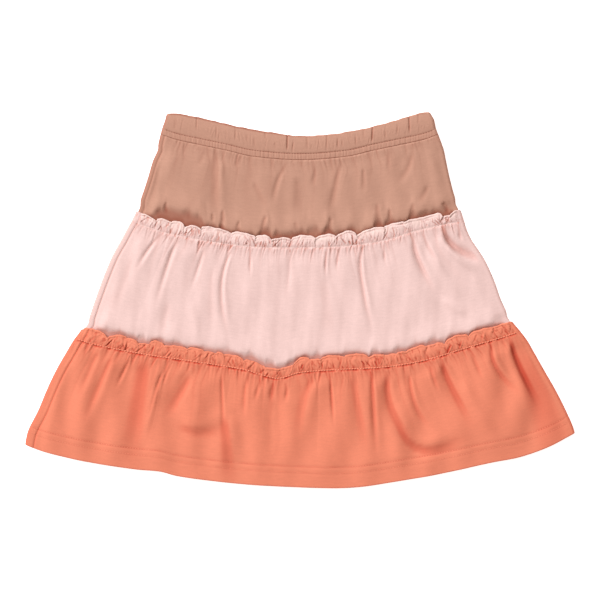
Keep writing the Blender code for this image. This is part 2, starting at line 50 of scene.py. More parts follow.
# -------------------------------------------------------------------------------------------------
# Waistband casing. Tan jersey turned over a 20 mm elastic and down inside to the lower row of its
# coverstitch. The relaxed elastic draws it into short upright creases, sharper on some than others.
# -------------------------------------------------------------------------------------------------
# The jersey's own colour, then the painted shade colour mixed in where it lies in creases, grooves and
# shadows, then the painted highlight colour, which is also its sheen tint.
TAN = (0.500, 0.262, 0.185)
TAN_SHADE = (0.280, 0.080, 0.048)
TAN_HIGHLIGHT = (0.620, 0.360, 0.270)
CLOTH = 0.8 * MM
CASING_TOP = 6.2 * MM
CASING_BEND = 1.3 * MM
CASING_PUFF = 0.7 * MM
CASING_FADE = 8.0 * MM
WALE = 0.75 * MM
COURSE = 0.60 * MM
STITCH_ROWS_APART = 5.6 * MM
STITCH_PITCH = 2.4 * MM
STITCH_GROOVE = 0.45 * MM
GROOVE_WIDTH = 0.5 * MM
FOLD_WIDTH = 3.6 * MM
FOLD_STEPS = 12

OUTLINE = (
    # y, left x, right x
    (-0.1310, -0.2472, 0.2472),
    (-0.1174, -0.2443, 0.2464),
    (-0.0994, -0.2353, 0.2389),
    (-0.0814, -0.2278, 0.2299),
    (-0.0634, -0.2193, 0.2196),
    (-0.0454, -0.2090, 0.2094),
    (-0.0364, -0.2036, 0.2042),
    (-0.0274, -0.1969, 0.1974),
    (-0.0185, -0.1908, 0.1902),
    (-0.0004, -0.1843, 0.1809),
    (0.0175, -0.1778, 0.1745),
    (0.0355, -0.1706, 0.1663),
    (0.0445, -0.1661, 0.1607),
    (0.0536, -0.1608, 0.1545),
    (0.0625, -0.1561, 0.1501),
    (0.0716, -0.1509, 0.1472),
    (0.0805, -0.1469, 0.1444),
    (0.0895, -0.1435, 0.1401),
    (0.1075, -0.1374, 0.1350),
    (0.1255, -0.1320, 0.1311),
    (0.1346, -0.1278, 0.1293),
    (0.1399, -0.1274, 0.1275),
    (0.1472, -0.1257, 0.1248),
    (0.1543, -0.1238, 0.1221),
    (0.1615, -0.1212, 0.1206),
    (0.1651, -0.1203, 0.1188),
    (0.1690, -0.1184, 0.1166),
)
WAIST_EDGE = (
    # x, y
    (-0.1190, 0.1675),
    (-0.1080, 0.1672),
    (-0.0810, 0.1617),
    (-0.0540, 0.1554),
    (-0.0270, 0.1507),
    (0.0000, 0.1474),
    (0.0270, 0.1488),
    (0.0540, 0.1532),
    (0.0810, 0.1599),
    (0.1080, 0.1679),
    (0.1180, 0.1690),
)
CASING_SEAM = (
    # x, y
    (-0.1260, 0.1491),
    (-0.1116, 0.1440),
    (-0.0891, 0.1390),
    (-0.0657, 0.1341),
    (-0.0432, 0.1289),
    (0.0000, 0.1256),
    (0.0432, 0.1289),
    (0.0657, 0.1341),
    (0.0891, 0.1390),
    (0.1116, 0.1440),
    (0.1250, 0.1491),
)
CASING_CREASES = (
    # x in mm, depth in mm, width in mm, lean to the right in mm, lowest and highest share of the band
    (-112, 0.20, 1.2, 0.5, 0.3, 0.9),
    (-92.7, 0.40, 0.6, 0.3, 0.45, 1.0),
    (-75.0, 0.35, 0.6, 0.7, 0.30, 0.9),
    (-72.5, 0.35, 0.6, 1.2, 0.25, 0.7),
    (-58.0, 0.20, 0.8, -0.6, 0.4, 1.0),
    (-47.0, 0.20, 0.8, 0.5, 0.5, 0.9),
    (-41.0, 0.25, 0.9, 0.2, 0.3, 0.8),
    (-31.0, 0.20, 0.9, -0.3, 0.6, 1.0),
    (-22.0, 0.20, 0.9, 0.4, 0.3, 0.7),
    (-11.5, 0.90, 0.6, 0.6, 0.3, 1.0),
    (-6.3, 0.50, 0.6, 2.2, 0.25, 0.85),
    (6.3, 0.25, 0.9, -0.4, 0.4, 1.0),
    (14.5, 0.20, 0.8, 0.2, 0.5, 0.9),
    (23.9, 0.40, 0.7, 0.8, 0.3, 1.0),
    (33.7, 0.45, 0.7, -0.9, 0.3, 0.9),
    (37.8, 0.35, 0.6, -0.6, 0.35, 0.8),
    (50.0, 0.40, 0.7, -1.0, 0.3, 0.9),
    (57.0, 0.20, 0.9, 0.3, 0.5, 1.0),
    (64.8, 0.85, 0.7, 0.8, 0.3, 1.0),
    (76.5, 0.40, 0.7, -0.7, 0.30, 0.8),
    (87.3, 0.40, 0.7, 0.6, 0.35, 0.9),
    (98.1, 0.80, 0.7, -0.8, 0.3, 1.0),
    (106.0, 0.25, 0.9, 0.3, 0.5, 1.0),
)


def smooth(t):
    """Ease from 0 to 1 as t goes from 0 to 1, and hold beyond."""
    t = np.clip(t, 0.0, 1.0)
    return t * t * (3.0 - 2.0 * t)


def mix(a, b, share):
    """The value that lies the given share of the way from a to b."""
    return a + (b - a) * share


def bell(distance, width):
    """A rounded bump, 1 at no distance and next to nothing past twice its width."""
    return np.exp(-(distance / width) ** 2)


def curve(points):
    """A function that reads the smooth curve through (place, value) points."""
    places, values = np.array(points, dtype=float).T
    slopes = np.empty(len(places))
    slopes[1:-1] = (values[2:] - values[:-2]) / (places[2:] - places[:-2])
    slopes[0] = (values[1] - values[0]) / (places[1] - places[0])
    slopes[-1] = (values[-1] - values[-2]) / (places[-1] - places[-2])

    def read(place):
        """The curve's value at a place, carried straight on beyond its ends."""
        index = np.clip(np.searchsorted(places, place) - 1, 0, len(places) - 2)
        span = places[index + 1] - places[index]
        t = np.clip((place - places[index]) / span, 0.0, 1.0)
        pull = t * (1.0 - t) ** 2 * slopes[index] + t * t * (t - 1.0) * slopes[index + 1]
        inside = mix(values[index], values[index + 1], smooth(t)) + span * pull
        before = np.minimum(place - places[0], 0.0) * slopes[0]
        after = np.maximum(place - places[-1], 0.0) * slopes[-1]
        return inside + before + after

    return read


left_fold = curve([(y, left) for y, left, _ in OUTLINE])
right_fold = curve([(y, right) for y, _, right in OUTLINE])
waist_edge = curve(WAIST_EDGE)
casing_seam = curve(CASING_SEAM)


def ends_of(line):
    """Where a line across the skirt meets its two side folds."""
    ends = []
    for fold in (left_fold, right_fold):
        x = fold(line(0.0))
        for _ in range(20):
            x = fold(line(x))
        ends.append(float(x))
    return ends


@dataclass
class Row:
    """One row of points round a flattened tube of cloth, a share of the way between two lines."""
    start: Callable
    end: Callable
    share: float
    shift: float = 0.0
    sink: float = 0.0
    standing: float = 0.0

    def __post_init__(self):
        self.start_ends = ends_of(self.start)
        self.end_ends = ends_of(self.end)

    def y_across(self, across):
        """Height up the skirt at a share of the way across it."""
        start = self.start(mix(*self.start_ends, across))
        end = self.end(mix(*self.end_ends, across))
        return mix(start, end, self.share) + self.shift


class Ring:
    """The closed line of one row, laid out over the front, the right fold, the underside and back."""

    def __init__(self, tube, row):
        self.tube = tube
        self.row = row
        left_y = row.y_across(0.0)
        right_y = row.y_across(1.0)
        self.left = left_fold(left_y) + tube.tuck(left_fold(left_y), left_y)
        self.right = right_fold(right_y) - tube.tuck(right_fold(right_y), right_y)

    def y_at(self, x):
        """Height up the skirt at a place across it."""
        return self.row.y_across((x - self.left) / (self.right - self.left))

    def front(self, x):
        """Points and tone over the front."""
        y, z, tone = self.tube.front(x, self.y_at(x), self)
        return np.stack([x, y, z - self.row.sink, tone])

    def under(self, x):
        """Points and tone over the underside."""
        y, z, tone = self.tube.under(x, self.y_at(x), self)
        return np.stack([x, y, z + self.row.sink, tone])

    def fold(self, angle, end, inwards):
        """Points round a side fold, at angles from the front face down to the underside."""
        beside = np.array([end + inwards * FOLD_WIDTH])
        top = self.tube.front(beside, self.y_at(beside), self)[1][0]
        bottom = self.tube.under(beside, self.y_at(beside), self)[1][0]
        radius = (top - bottom) / 2
        reach = radius - self.row.sink
        x = end + inwards * (radius - reach * np.sin(angle))
        z = bottom + radius + reach * np.cos(angle)
        # Painted shade over the side fold, strongest at its outer edge.
        tone = self.tube.side_shades[0 if inwards > 0 else 1]
        return np.stack([x, self.y_at(x), z, tone * np.sin(angle)])

    def lay(self, stretches):
        """All the points of a panel's row, stretch by stretch."""
        parts = []
        for kind, (start_share, start_off), (end_share, end_off), steps in stretches:
            t = np.arange(steps) / steps
            if kind == "right":
                parts.append(self.fold(math.pi * t, self.right, -1.0))
            elif kind == "left":
                parts.append(self.fold(math.pi * (1.0 - t), self.left, 1.0))
            else:
                start = mix(self.left, self.right, start_share) + start_off
                end = mix(self.left, self.right, end_share) + end_off
                parts.append(getattr(self, kind)(mix(start, end, t)))
        parts.append(parts[0][:, :1] if stretches[-1][3] > 1 else parts[-1][:, -1:])
        return np.concatenate(parts, axis=1)


def cloth_sheet(name, rows, cut_width, wall):
    """A sheet of cloth with a wall: a flat grid whose points are moved to the given rows."""
    points = np.stack(rows)
    down, _, across = points.shape
    bpy.ops.object.select_all(action="DESELECT")
    bpy.ops.mesh.primitive_grid_add(x_subdivisions=across - 1, y_subdivisions=down - 1, size=1.0)
    sheet = bpy.context.object
    sheet.name = name
    mesh = sheet.data
    mesh.name = name
    flat = np.empty(len(mesh.vertices) * 3)
    mesh.vertices.foreach_get("co", flat)
    flat = flat.reshape(-1, 3)
    column = np.rint((flat[:, 0] + 0.5) * (across - 1)).astype(int)
    row = np.rint((0.5 - flat[:, 1]) * (down - 1)).astype(int)
    placed = points[row, :, column]
    mesh.vertices.foreach_set("co", placed[:, :3].ravel())
    tone = mesh.attributes.new("tone", "FLOAT", "POINT")
    tone.data.foreach_set("value", placed[:, 3].ravel())
    middle = points[:, :3, across // 2]
    length = np.concatenate([[0.0], np.cumsum(np.linalg.norm(np.diff(middle, axis=0), axis=1))])
    cut = np.stack([column / (across - 1) * cut_width, -length[row]], axis=1)
    corners = np.empty(len(mesh.loops), dtype=np.int64)
    mesh.loops.foreach_get("vertex_index", corners)
    mesh.uv_layers[0].name = "cut"
    mesh.uv_layers["cut"].data.foreach_set("uv", cut[corners].ravel())
    mesh.shade_smooth()
    mesh.update()
    solidify = sheet.modifiers.new("Wall", "SOLIDIFY")
    solidify.thickness = wall
    solidify.offset = -1.0
    bpy.ops.object.modifier_apply(modifier=solidify.name)
    return sheet


def needle_row(x, distance):
    """The groove that a row of stitches pulls into the cloth, tighter in some places than others."""
    return bell(distance, GROOVE_WIDTH) * (0.75 + 0.25 * ripple(x, 2.5 * MM, 0.9))


def ripple(x, pitch, start):
    """A slow uneven wave from -1 to 1, for what never repeats quite the same."""
    first = np.sin(x / pitch + start)
    second = np.sin(x / (1.7 * pitch) + 2.3 * start + first)
    return 0.5 * first + 0.5 * second


class Wrinkles:
    """Short wrinkles scattered along a line, each with its own slant, ends, depth and sharp side."""

    def __init__(self, ends, pitch, lows, highs, depths, widths, slant, fades, seed):
        draw = random.Random(seed)
        places = [ends[0]]
        while places[-1] < ends[1]:
            places.append(places[-1] + pitch * draw.uniform(0.3, 1.8))

        def scatter(least, most):
            """A value drawn for each wrinkle."""
            return np.array([[draw.uniform(least, most)] for _ in places])

        self.places = np.array(places)[:, None]
        self.lows = scatter(*lows)
        self.highs = scatter(*highs)
        self.depths = scatter(*depths) * (0.55 + 0.45 * ripple(self.places, 7 * MM, seed))
        self.widths = scatter(*widths)
        self.slants = scatter(-slant, slant)
        self.sides = np.sign(scatter(-1.0, 1.0))
        self.fades = fades

    def at(self, x, above):
        """Depth of the wrinkles, less the ridge that each pushes up beside it, and their shade."""
        reach = self.highs - self.lows
        span = smooth((above - self.lows) / (self.fades[0] * reach))
        span = span * smooth((self.highs - above) / (self.fades[1] * reach))
        off = x - self.places - self.slants * (above - self.highs)
        trough = self.depths * span * bell(off, self.widths)
        ridge = self.depths * span * bell(off - 1.7 * self.sides * self.widths, 1.3 * self.widths)
        return (trough - 0.6 * ridge).sum(axis=0), trough.sum(axis=0)


def past_folds(x, ring):
    """How far in a place is from where the nearer side fold starts to turn."""
    return np.minimum(x - ring.left, ring.right - x) - FOLD_WIDTH


class Casing:
    """The waistband, as a flattened tube."""
    # Painted shade on the left and the right side fold.
    side_shades = (1.0, 0.3)

    def __init__(self):
        self.wrinkles = Wrinkles(
            ends_of(casing_seam),
            pitch=3.0 * MM,
            lows=(5 * MM, 13 * MM),
            highs=(12 * MM, 24 * MM),
            depths=(0.05 * MM, 0.30 * MM),
            widths=(0.4 * MM, 0.8 * MM),
            slant=0.3,
            fades=(0.3, 0.3),
            seed=11,
        )

    def tuck(self, x, y):
        """Nothing: the casing's folds lie on the outline itself, wherever they are."""
        return 0.0

    def up(self, x, y):
        """Share of the way up the casing."""
        seam = casing_seam(x)
        return (y - seam) / (waist_edge(x) - seam)

    def creases(self, x, y):
        """Depth of the upright creases, each over its own share of the band."""
        up = self.up(x, y)
        total = np.zeros_like(x)
        for place, depth, width, lean, low, high in CASING_CREASES:
            off = x - place * MM - lean * MM * (up - 0.6)
            span = smooth((up - low) / 0.25) * smooth((high - up) / 0.3 + float(high == 1.0))
            total = total + depth * MM * bell(off, width * MM) * span
        return total

    def pucker(self, x, y):
        """Fine puckers between and beside the two rows of stitches."""
        waves = np.abs(np.sin(x / (1.25 * MM) + 2.0 * ripple(x, 6 * MM, 0.4)))
        slow = 0.6 + 0.4 * ripple(x, 5 * MM, 1.9)
        beside = bell(y - casing_seam(x) - STITCH_ROWS_APART / 2, 4.2 * MM)
        return 0.32 * MM * waves * slow * beside + 0.12 * MM * ripple(x, 8 * MM, 3.0)

    def front(self, x, y, ring):
        """Place up the skirt and height of the front face, and its painted shade: deeper the deeper it
        lies in a crease or wrinkle, in the stitch grooves, and along the top edge.
        """
        up = self.up(x, y)
        creases = self.creases(x, y)
        upper = needle_row(x, y - casing_seam(x) - STITCH_ROWS_APART)
        lower = needle_row(-x, y - casing_seam(x))
        puff = CASING_PUFF * np.sin(math.pi * np.clip((up - 0.27) / 0.73, 0.0, 1.0)) ** 0.8
        fade = smooth(past_folds(x, ring) / CASING_FADE)
        wrinkled, shade = self.wrinkles.at(x, y - casing_seam(x))
        z = CASING_TOP - 0.5 * MM + puff + fade * (self.pucker(x, y) - creases - wrinkled)
        z = z - STITCH_GROOVE * (upper + lower)
        dents = 0.30 * MM * ripple(x, 2.1 * MM, 0.7) - 0.5 * creases - 0.4 * shade
        y = y + fade * dents * smooth((up - 0.5) / 0.5)
        # Painted shade along the turned top edge, heavier on the left half.
        edge_shade = mix(1.1, 0.5, smooth((x + 40 * MM) / (60 * MM))) * (0.8 + 0.2 * ripple(x, 2.1 * MM, 0.7))
        rim = edge_shade * smooth((up - 0.92) / 0.04)
        ladder = 0.5 + 0.5 * np.sin(2 * math.pi * x / STITCH_PITCH)
        ladder = 0.28 * ladder * bell(y - casing_seam(x) - STITCH_ROWS_APART / 2, 2.2 * MM)
        # Painted shade in the creases, wrinkles and stitch grooves and along the top edge.
        tone = (creases + 0.7 * shade) / (1.2 * MM) + 0.7 * upper + 0.75 * lower + rim + ladder
        return y, z, np.clip(tone, 0.0, 1.0)

    def under(self, x, y, ring):
        """The same for the underside, which is creased less where it lies flat, with painted shade in
        its valleys and stitch grooves.
        """
        waves = np.abs(np.sin(x / (3.1 * MM) + 1.3 * ripple(x, 9 * MM, 2.2))) ** 1.5
        upper = needle_row(x, y - casing_seam(x) - STITCH_ROWS_APART)
        lower = needle_row(-x, y - casing_seam(x))
        fade = smooth(past_folds(x, ring) / CASING_FADE)
        z = fade * (0.40 * MM * (1.0 - waves) + 0.3 * MM * (upper + lower))
        y = y + fade * 0.3 * MM * ripple(x, 2.6 * MM, 1.1) * smooth((self.up(x, y) - 0.5) / 0.5)
        return y, z, np.clip(0.35 * (1.0 - waves) + 0.5 * (upper + lower), 0.0, 1.0)

    def rows(self):
        """Rows from the turned edge inside, up and over the top, and down to the seam outside."""
        rows = []
        for share in np.linspace(0.0, 0.86, 8):
            rows.append(Row(casing_seam, waist_edge, share, sink=2 * CASING_BEND))
        for angle in np.linspace(math.pi, 0.0, 9):
            shift = -CASING_BEND * (1.0 - math.sin(angle))
            sink = CASING_BEND * (1.0 - math.cos(angle))
            rows.append(Row(casing_seam, waist_edge, 1.0, shift, sink))
        for share in np.linspace(0.90, 0.40, 17):
            rows.append(Row(casing_seam, waist_edge, share))
        for place in (7.2, 6.6, 6.1, 5.6, 5.1, 4.6, 3.8, 2.8, 1.9, 1.3, 0.8, 0.4, 0.0):
            rows.append(Row(casing_seam, casing_seam, 0.0, place * MM))
        return rows


def new_material(name):
    """A material, with the nodes and links of its tree and its main shader."""
    material = bpy.data.materials.new(name)
    material.use_nodes = True
    nodes = material.node_tree.nodes
    return material, nodes, material.node_tree.links, nodes["Principled BSDF"]


def add_bump(nodes, links, shader, height, strength, distance):
    """Relief too fine for the mesh, for a shader, from a socket that gives its height."""
    bump = nodes.new("ShaderNodeBump")
    bump.inputs["Strength"].default_value = strength
    bump.inputs["Distance"].default_value = distance
    links.new(height, bump.inputs["Height"])
    links.new(bump.outputs["Normal"], shader.inputs["Normal"])


def jersey(name, colour, shade_colour, highlight_colour, cloudiness, foot, gathering):
    """Matt cotton single jersey: fine wales and courses and a little slub. Its tone attribute mixes in
    painted shade where it lies in creases, grooves and shadows, and painted highlight on ruffle edges
    and stitch lines. Short puckers run down to the stitches, which lie the length of foot below its
    top edge; they are bumped in and given painted shade."""
    material, nodes, links, shader = new_material(name)
    shader.inputs["Roughness"].default_value = 0.86
    shader.inputs["Sheen Weight"].default_value = 0.15
    shader.inputs["Sheen Roughness"].default_value = 0.45
    shader.inputs["Sheen Tint"].default_value = (*highlight_colour, 1.0)
    shader.inputs["Specular IOR Level"].default_value = 0.12

    def node(kind, **settings):
        """A new node with its settings."""
        made = nodes.new(kind)
        for key, value in settings.items():
            setattr(made, key, value)
        return made

    def sum_of(operation, first, second):
        """A Math node on two values, each a socket or a number."""
        made = node("ShaderNodeMath", operation=operation)
        for socket, value in zip(made.inputs, (first, second)):
            if isinstance(value, bpy.types.NodeSocket):
                links.new(value, socket)
            else:
                socket.default_value = value
        return made.outputs[0]

    def blend(kind, share, first, second):
        """A colour mix of two colours, each a socket or a colour."""
        made = node("ShaderNodeMix", data_type="RGBA", blend_type=kind)
        for index, value in ((0, share), (6, first), (7, second)):
            if isinstance(value, bpy.types.NodeSocket):
                links.new(value, made.inputs[index])
            else:
                made.inputs[index].default_value = value
        return made.outputs[2]

    def noise(vector, scale, detail, distortion=0.0):
        """The value of a noise texture."""
        made = node("ShaderNodeTexNoise")
        for socket, value in (("Scale", scale), ("Detail", detail), ("Distortion", distortion)):
            made.inputs[socket].default_value = value
        links.new(vector, made.inputs["Vector"])
        return made.outputs["Fac"]

    def on_cut(scale):
        """Coordinates over the cut cloth, with so many units to the metre each way."""
        made = node("ShaderNodeMapping")
        made.inputs["Scale"].default_value = scale
        links.new(cut.outputs["UV"], made.inputs["Vector"])
        return made.outputs["Vector"]

    cut = node("ShaderNodeUVMap", uv_map="cut")
    split = node("ShaderNodeSeparateXYZ")
    links.new(cut.outputs["UV"], split.inputs[0])
    wales = sum_of("SINE", sum_of("MULTIPLY", split.outputs[0], 2 * math.pi / WALE), 0.0)
    steps = sum_of("MULTIPLY", split.outputs[1], 2 * math.pi / COURSE)
    courses = sum_of("SINE", sum_of("ADD", steps, sum_of("MULTIPLY", wales, 1.1)), 0.0)
    knit = sum_of("ADD", sum_of("MULTIPLY", wales, 0.5), sum_of("MULTIPLY", courses, 0.5))

    place = node("ShaderNodeTexCoord").outputs["Object"]
    cloudy = noise(place, 38.0, 3.0)
    fuzz = noise(place, 900.0, 4.0)
    slub = noise(on_cut((110.0, 620.0, 60.0)), 1.0, 2.0)

    lighter = tuple(channel * (1.0 + cloudiness) for channel in colour)
    darker = tuple(channel * (1.0 - cloudiness) for channel in colour)
    even = blend("MIX", cloudy, (*darker, 1.0), (*lighter, 1.0))
    flecks = sum_of("ADD", sum_of("MULTIPLY", slub, 0.14), 0.93)
    grain = sum_of("ADD", sum_of("MULTIPLY", fuzz, 0.16), 0.92)
    loops = sum_of("ADD", sum_of("MULTIPLY", knit, 0.022), 1.0)
    tone = sum_of("MULTIPLY", sum_of("MULTIPLY", flecks, grain), loops)
    toned = blend("MULTIPLY", 1.0, even, tone)

    def ramp(value, low, high):
        """An eased share from 0 at low to 1 at high."""
        made = node("ShaderNodeMapRange", interpolation_type="SMOOTHSTEP")
        made.inputs["From Min"].default_value = low
        made.inputs["From Max"].default_value = high
        links.new(value, made.inputs["Value"])
        return made.outputs["Result"]

    # Puckers near the stitches: bumped in, with painted shade in them.
    puckers = noise(on_cut((300.0, 110.0, 1.0)), 1.0, 1.5, 0.8)
    by_stitches = ramp(split.outputs[1], -foot - 9 * MM, -foot)
    below_rim = ramp(split.outputs[1], -0.8 * MM, -2.4 * MM)
    patches = sum_of("ADD", sum_of("MULTIPLY", ramp(cloudy, 0.42, 0.58), 0.65), 0.35)
    held = sum_of("MULTIPLY", sum_of("MULTIPLY", by_stitches, below_rim), patches)
    puckered = sum_of("MULTIPLY", ramp(puckers, 0.54, 0.66), held)
    # The tone attribute: above 0 mixes in painted shade, below 0 mixes in painted highlight.
    tone_of = node("ShaderNodeAttribute", attribute_name="tone").outputs["Fac"]
    shade_share = sum_of("MULTIPLY", sum_of("MAXIMUM", tone_of, 0.0), 0.85)
    shade_share = sum_of("ADD", shade_share, sum_of("MULTIPLY", puckered, gathering))
    highlight_share = sum_of("MAXIMUM", sum_of("MULTIPLY", tone_of, -1.0), 0.0)
    painted_highlight = blend("MIX", highlight_share, toned, (*highlight_colour, 1.0))
    links.new(blend("MIX", shade_share, painted_highlight, (*shade_colour, 1.0)), shader.inputs["Base Color"])

    relief = sum_of("ADD", sum_of("MULTIPLY", knit, 0.5), sum_of("MULTIPLY", fuzz, 1.4))
    relief = sum_of("SUBTRACT", relief, sum_of("MULTIPLY", puckered, 4.0 * gathering))
    add_bump(nodes, links, shader, relief, 0.35, 0.12 * MM)
    return material


def dress(piece, node, material):
    """Gives a piece its cloth and its body, and hides the CAD node that it stands for."""
    piece.data.materials.clear()
    piece.data.materials.append(material)
    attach(piece, "root")
    if node:
        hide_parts(node)


tan_jersey = jersey(
    "tan_jersey", TAN, TAN_SHADE, TAN_HIGHLIGHT, cloudiness=0.035, foot=0.5 * MM, gathering=0.2
)
casing = Casing()
CASING_STRETCHES = (
    ("front", (0.0, FOLD_WIDTH), (1.0, -FOLD_WIDTH), 520),
    ("right", (1.0, 0.0), (1.0, 0.0), FOLD_STEPS),
    ("under", (1.0, -FOLD_WIDTH), (0.0, FOLD_WIDTH), 220),
    ("left", (0.0, 0.0), (0.0, 0.0), FOLD_STEPS),
)
casing_points = [Ring(casing, row).lay(CASING_STRETCHES) for row in casing.rows()]
waistband = cloth_sheet("waistband_casing", casing_points, 0.60, CLOTH)
bpy.ops.object.mode_set(mode="EDIT")
bpy.ops.mesh.select_all(action="SELECT")
bpy.ops.mesh.remove_doubles(threshold=0.00001)
bpy.ops.object.mode_set(mode="OBJECT")
dress(waistband, "waistband", tan_jersey)

# -------------------------------------------------------------------------------------------------
# Waistband coverstitch. Two rows of tan thread, 5.6 mm apart, sunk into the jersey. The lower row
# closes the casing and the upper one runs through it.
# -------------------------------------------------------------------------------------------------
TAN_THREAD = (0.200, 0.066, 0.040)
STITCH_LENGTH = 1.5 * MM
STITCH_SPACE = STITCH_PITCH - STITCH_LENGTH
THREAD = 0.42 * MM
PRESSED_SHARE = 0.35
SEAM_STEP = 0.4 * MM


def thread_material(name, colour):
    """Spun polyester thread with its twist."""
    material, nodes, links, shader = new_material(name)
    shader.inputs["Roughness"].default_value = 0.6
    shader.inputs["Specular IOR Level"].default_value = 0.2
    place = nodes.new("ShaderNodeTexCoord")
    twist = nodes.new("ShaderNodeTexWave")
    twist.inputs["Scale"].default_value = 900.0
    twist.inputs["Distortion"].default_value = 1.5
    links.new(place.outputs["Object"], twist.inputs["Vector"])
    shade = nodes.new("ShaderNodeMix")
    shade.data_type = "RGBA"
    shade.inputs[6].default_value = (*(channel * 0.8 for channel in colour), 1.0)
    shade.inputs[7].default_value = (*colour, 1.0)
    links.new(twist.outputs["Fac"], shade.inputs[0])
    links.new(shade.outputs[2], shader.inputs["Base Color"])
    add_bump(nodes, links, shader, twist.outputs["Fac"], 0.4, 0.1 * MM)
    return material


def one_stitch():
    """The points and faces of a single stitch: a grain of thread along X, a unit long and thick."""
    bpy.ops.object.select_all(action="DESELECT")
    bpy.ops.mesh.primitive_uv_sphere_add(segments=6, ring_count=6, radius=0.5)
    grain = bpy.context.object
    bpy.ops.object.mode_set(mode="EDIT")
    bpy.ops.mesh.select_all(action="SELECT")
    bpy.ops.transform.rotate(value=math.pi / 2, orient_axis="Y", center_override=(0, 0, 0))
    bpy.ops.object.mode_set(mode="OBJECT")
    points = np.array([vertex.co[:] for vertex in grain.data.vertices])
    faces = [tuple(face.vertices) for face in grain.data.polygons]
    bpy.data.objects.remove(grain, do_unlink=True)
    points[:, 0] = np.sign(points[:, 0]) * np.abs(2 * points[:, 0]) ** 0.6 / 2
    return points, faces


def sew(name, lines, length, space, thickness, proud):
    """Stitches along lines of surface points, every one a copy of the same grain of thread. They
    stand proud on the front, and are pressed into the cloth on the underside."""
    grain, grain_faces = one_stitch()
    points = []
    faces = []
    for line, outwards in lines:
        up = np.array([0.0, 0.0, outwards])
        stand = proud if outwards > 0 else -PRESSED_SHARE * thickness
        steps = np.linalg.norm(np.diff(line, axis=0), axis=1)
        travelled = np.concatenate([[0.0], np.cumsum(steps)])
        for start in np.arange(0.0, travelled[-1] - length, length + space):
            places = start + np.array([0.0, length / 2, length])
            spots = [np.interp(places, travelled, axis) for axis in line.T]
            first, middle, last = np.stack(spots, axis=1)
            along = (last - first) / np.linalg.norm(last - first)
            across = np.cross(up, along)
            bow = -0.5 * thickness * (2 * grain[:, :1]) ** 2 * up
            copy = middle + up * stand
            copy = copy + grain[:, :1] * length * along + grain[:, 1:2] * thickness * across
            copy = copy + grain[:, 2:] * thickness * up + bow
            placed = len(points) * len(grain)
            faces += [tuple(placed + corner for corner in face) for face in grain_faces]
            points.append(copy)
    mesh = bpy.data.meshes.new(name)
    mesh.from_pydata(np.concatenate(points).tolist(), [], faces)
    mesh.shade_smooth()
    threads = bpy.data.objects.new(name, mesh)
    bpy.context.scene.collection.objects.link(threads)
    return threads


class Place:
    """The two side folds, for reading a tube's height away from its own rows."""

    def __init__(self, left, right):
        self.left = left
        self.right = right
        self.row = Row(casing_seam, casing_seam, 0.0)


def seam_line(tube, line, shift, outwards):
    """Surface points of a tube along a line across it, on the front or the underside."""

    def shifted(x):
        """The line, moved up the skirt."""
        return line(x) + shift

    left, right = ends_of(shifted)
    x = np.arange(left + FOLD_WIDTH, right - FOLD_WIDTH, SEAM_STEP)
    place = Place(left, right)
    face = tube.front if outwards > 0 else tube.under
    y, z, _ = face(x, shifted(x), place)
    return np.stack([x, y, z], axis=1), outwards


def seam_lines(tube, line, shifts):
    """A line of surface points for each row of stitches, on the front and then the underside."""
    return [seam_line(tube, line, shift, outwards) for outwards in (1.0, -1.0) for shift in shifts]


casing_lines = seam_lines(casing, casing_seam, (0.1 * MM, STITCH_ROWS_APART))
waist_stitches = sew(
    "waistband_coverstitch", casing_lines, STITCH_LENGTH, STITCH_SPACE, THREAD, proud=0.10 * MM
)
tan_thread = thread_material("tan_thread", TAN_THREAD)
dress(waist_stitches, None, tan_thread)

# -------------------------------------------------------------------------------------------------
# Top tier. Plain tan jersey, a front and a back panel joined at the side seams, drawn in a little
# by the elastic above and tucked under the ruffle of the tier below.
# -------------------------------------------------------------------------------------------------
ALLOWANCE = 5.0 * MM
GAP = 0.3 * MM
BACK_LIFT = 2.0 * MM
INNER_TOP = 4.6 * MM
OUTER_TOP = 6.1 * MM
BODY_TOP = 6.4 * MM
SIDE_TOP = 5.4 * MM
SIDE_ROLL = 13.0 * MM
RISE = 12.0 * MM
ROLL = 9.0 * MM
LONGEST_REACH = 5.6 * MM
TUCK_IN = 2.0 * MM
RUFFLE_FADE = 3.0 * MM
WELL_BOTTOM = 5.4 * MM
COVERED_TOP = 5.2 * MM
PUFF_FALL = 7.5 * MM
# Painted shade in the hollow above a ruffle, and the reach of the painted shadow and of the painted dark
# line along that ruffle's edge.
PUFF_SHADE = 0.75
CONTACT_REACH = 5.5 * MM
RIM_REACH = 2.6 * MM
HEADING_RISE = 0.8 * MM
OVERLAP = 0.9 * MM
BEAD = 0.55 * MM
BEAD_WIDTH = 0.9 * MM
SEAM_DIP = 0.5 * MM
SEAM_WIDTH = 0.9 * MM
HEM_TOP = 5.8 * MM
HEM_FALL = 24.0 * MM
HEM_BEND = 0.9 * MM
HEM_TURN = 20.0 * MM
HEM_DEPTH = 22.0 * MM
HEM_STITCH_TOP = HEM_TURN - 1.1 * MM
HEM_STITCH_PLACES = (HEM_STITCH_TOP - STITCH_ROWS_APART, HEM_STITCH_TOP)
HEM_STITCH_PULLS = (0.5, 1.0)

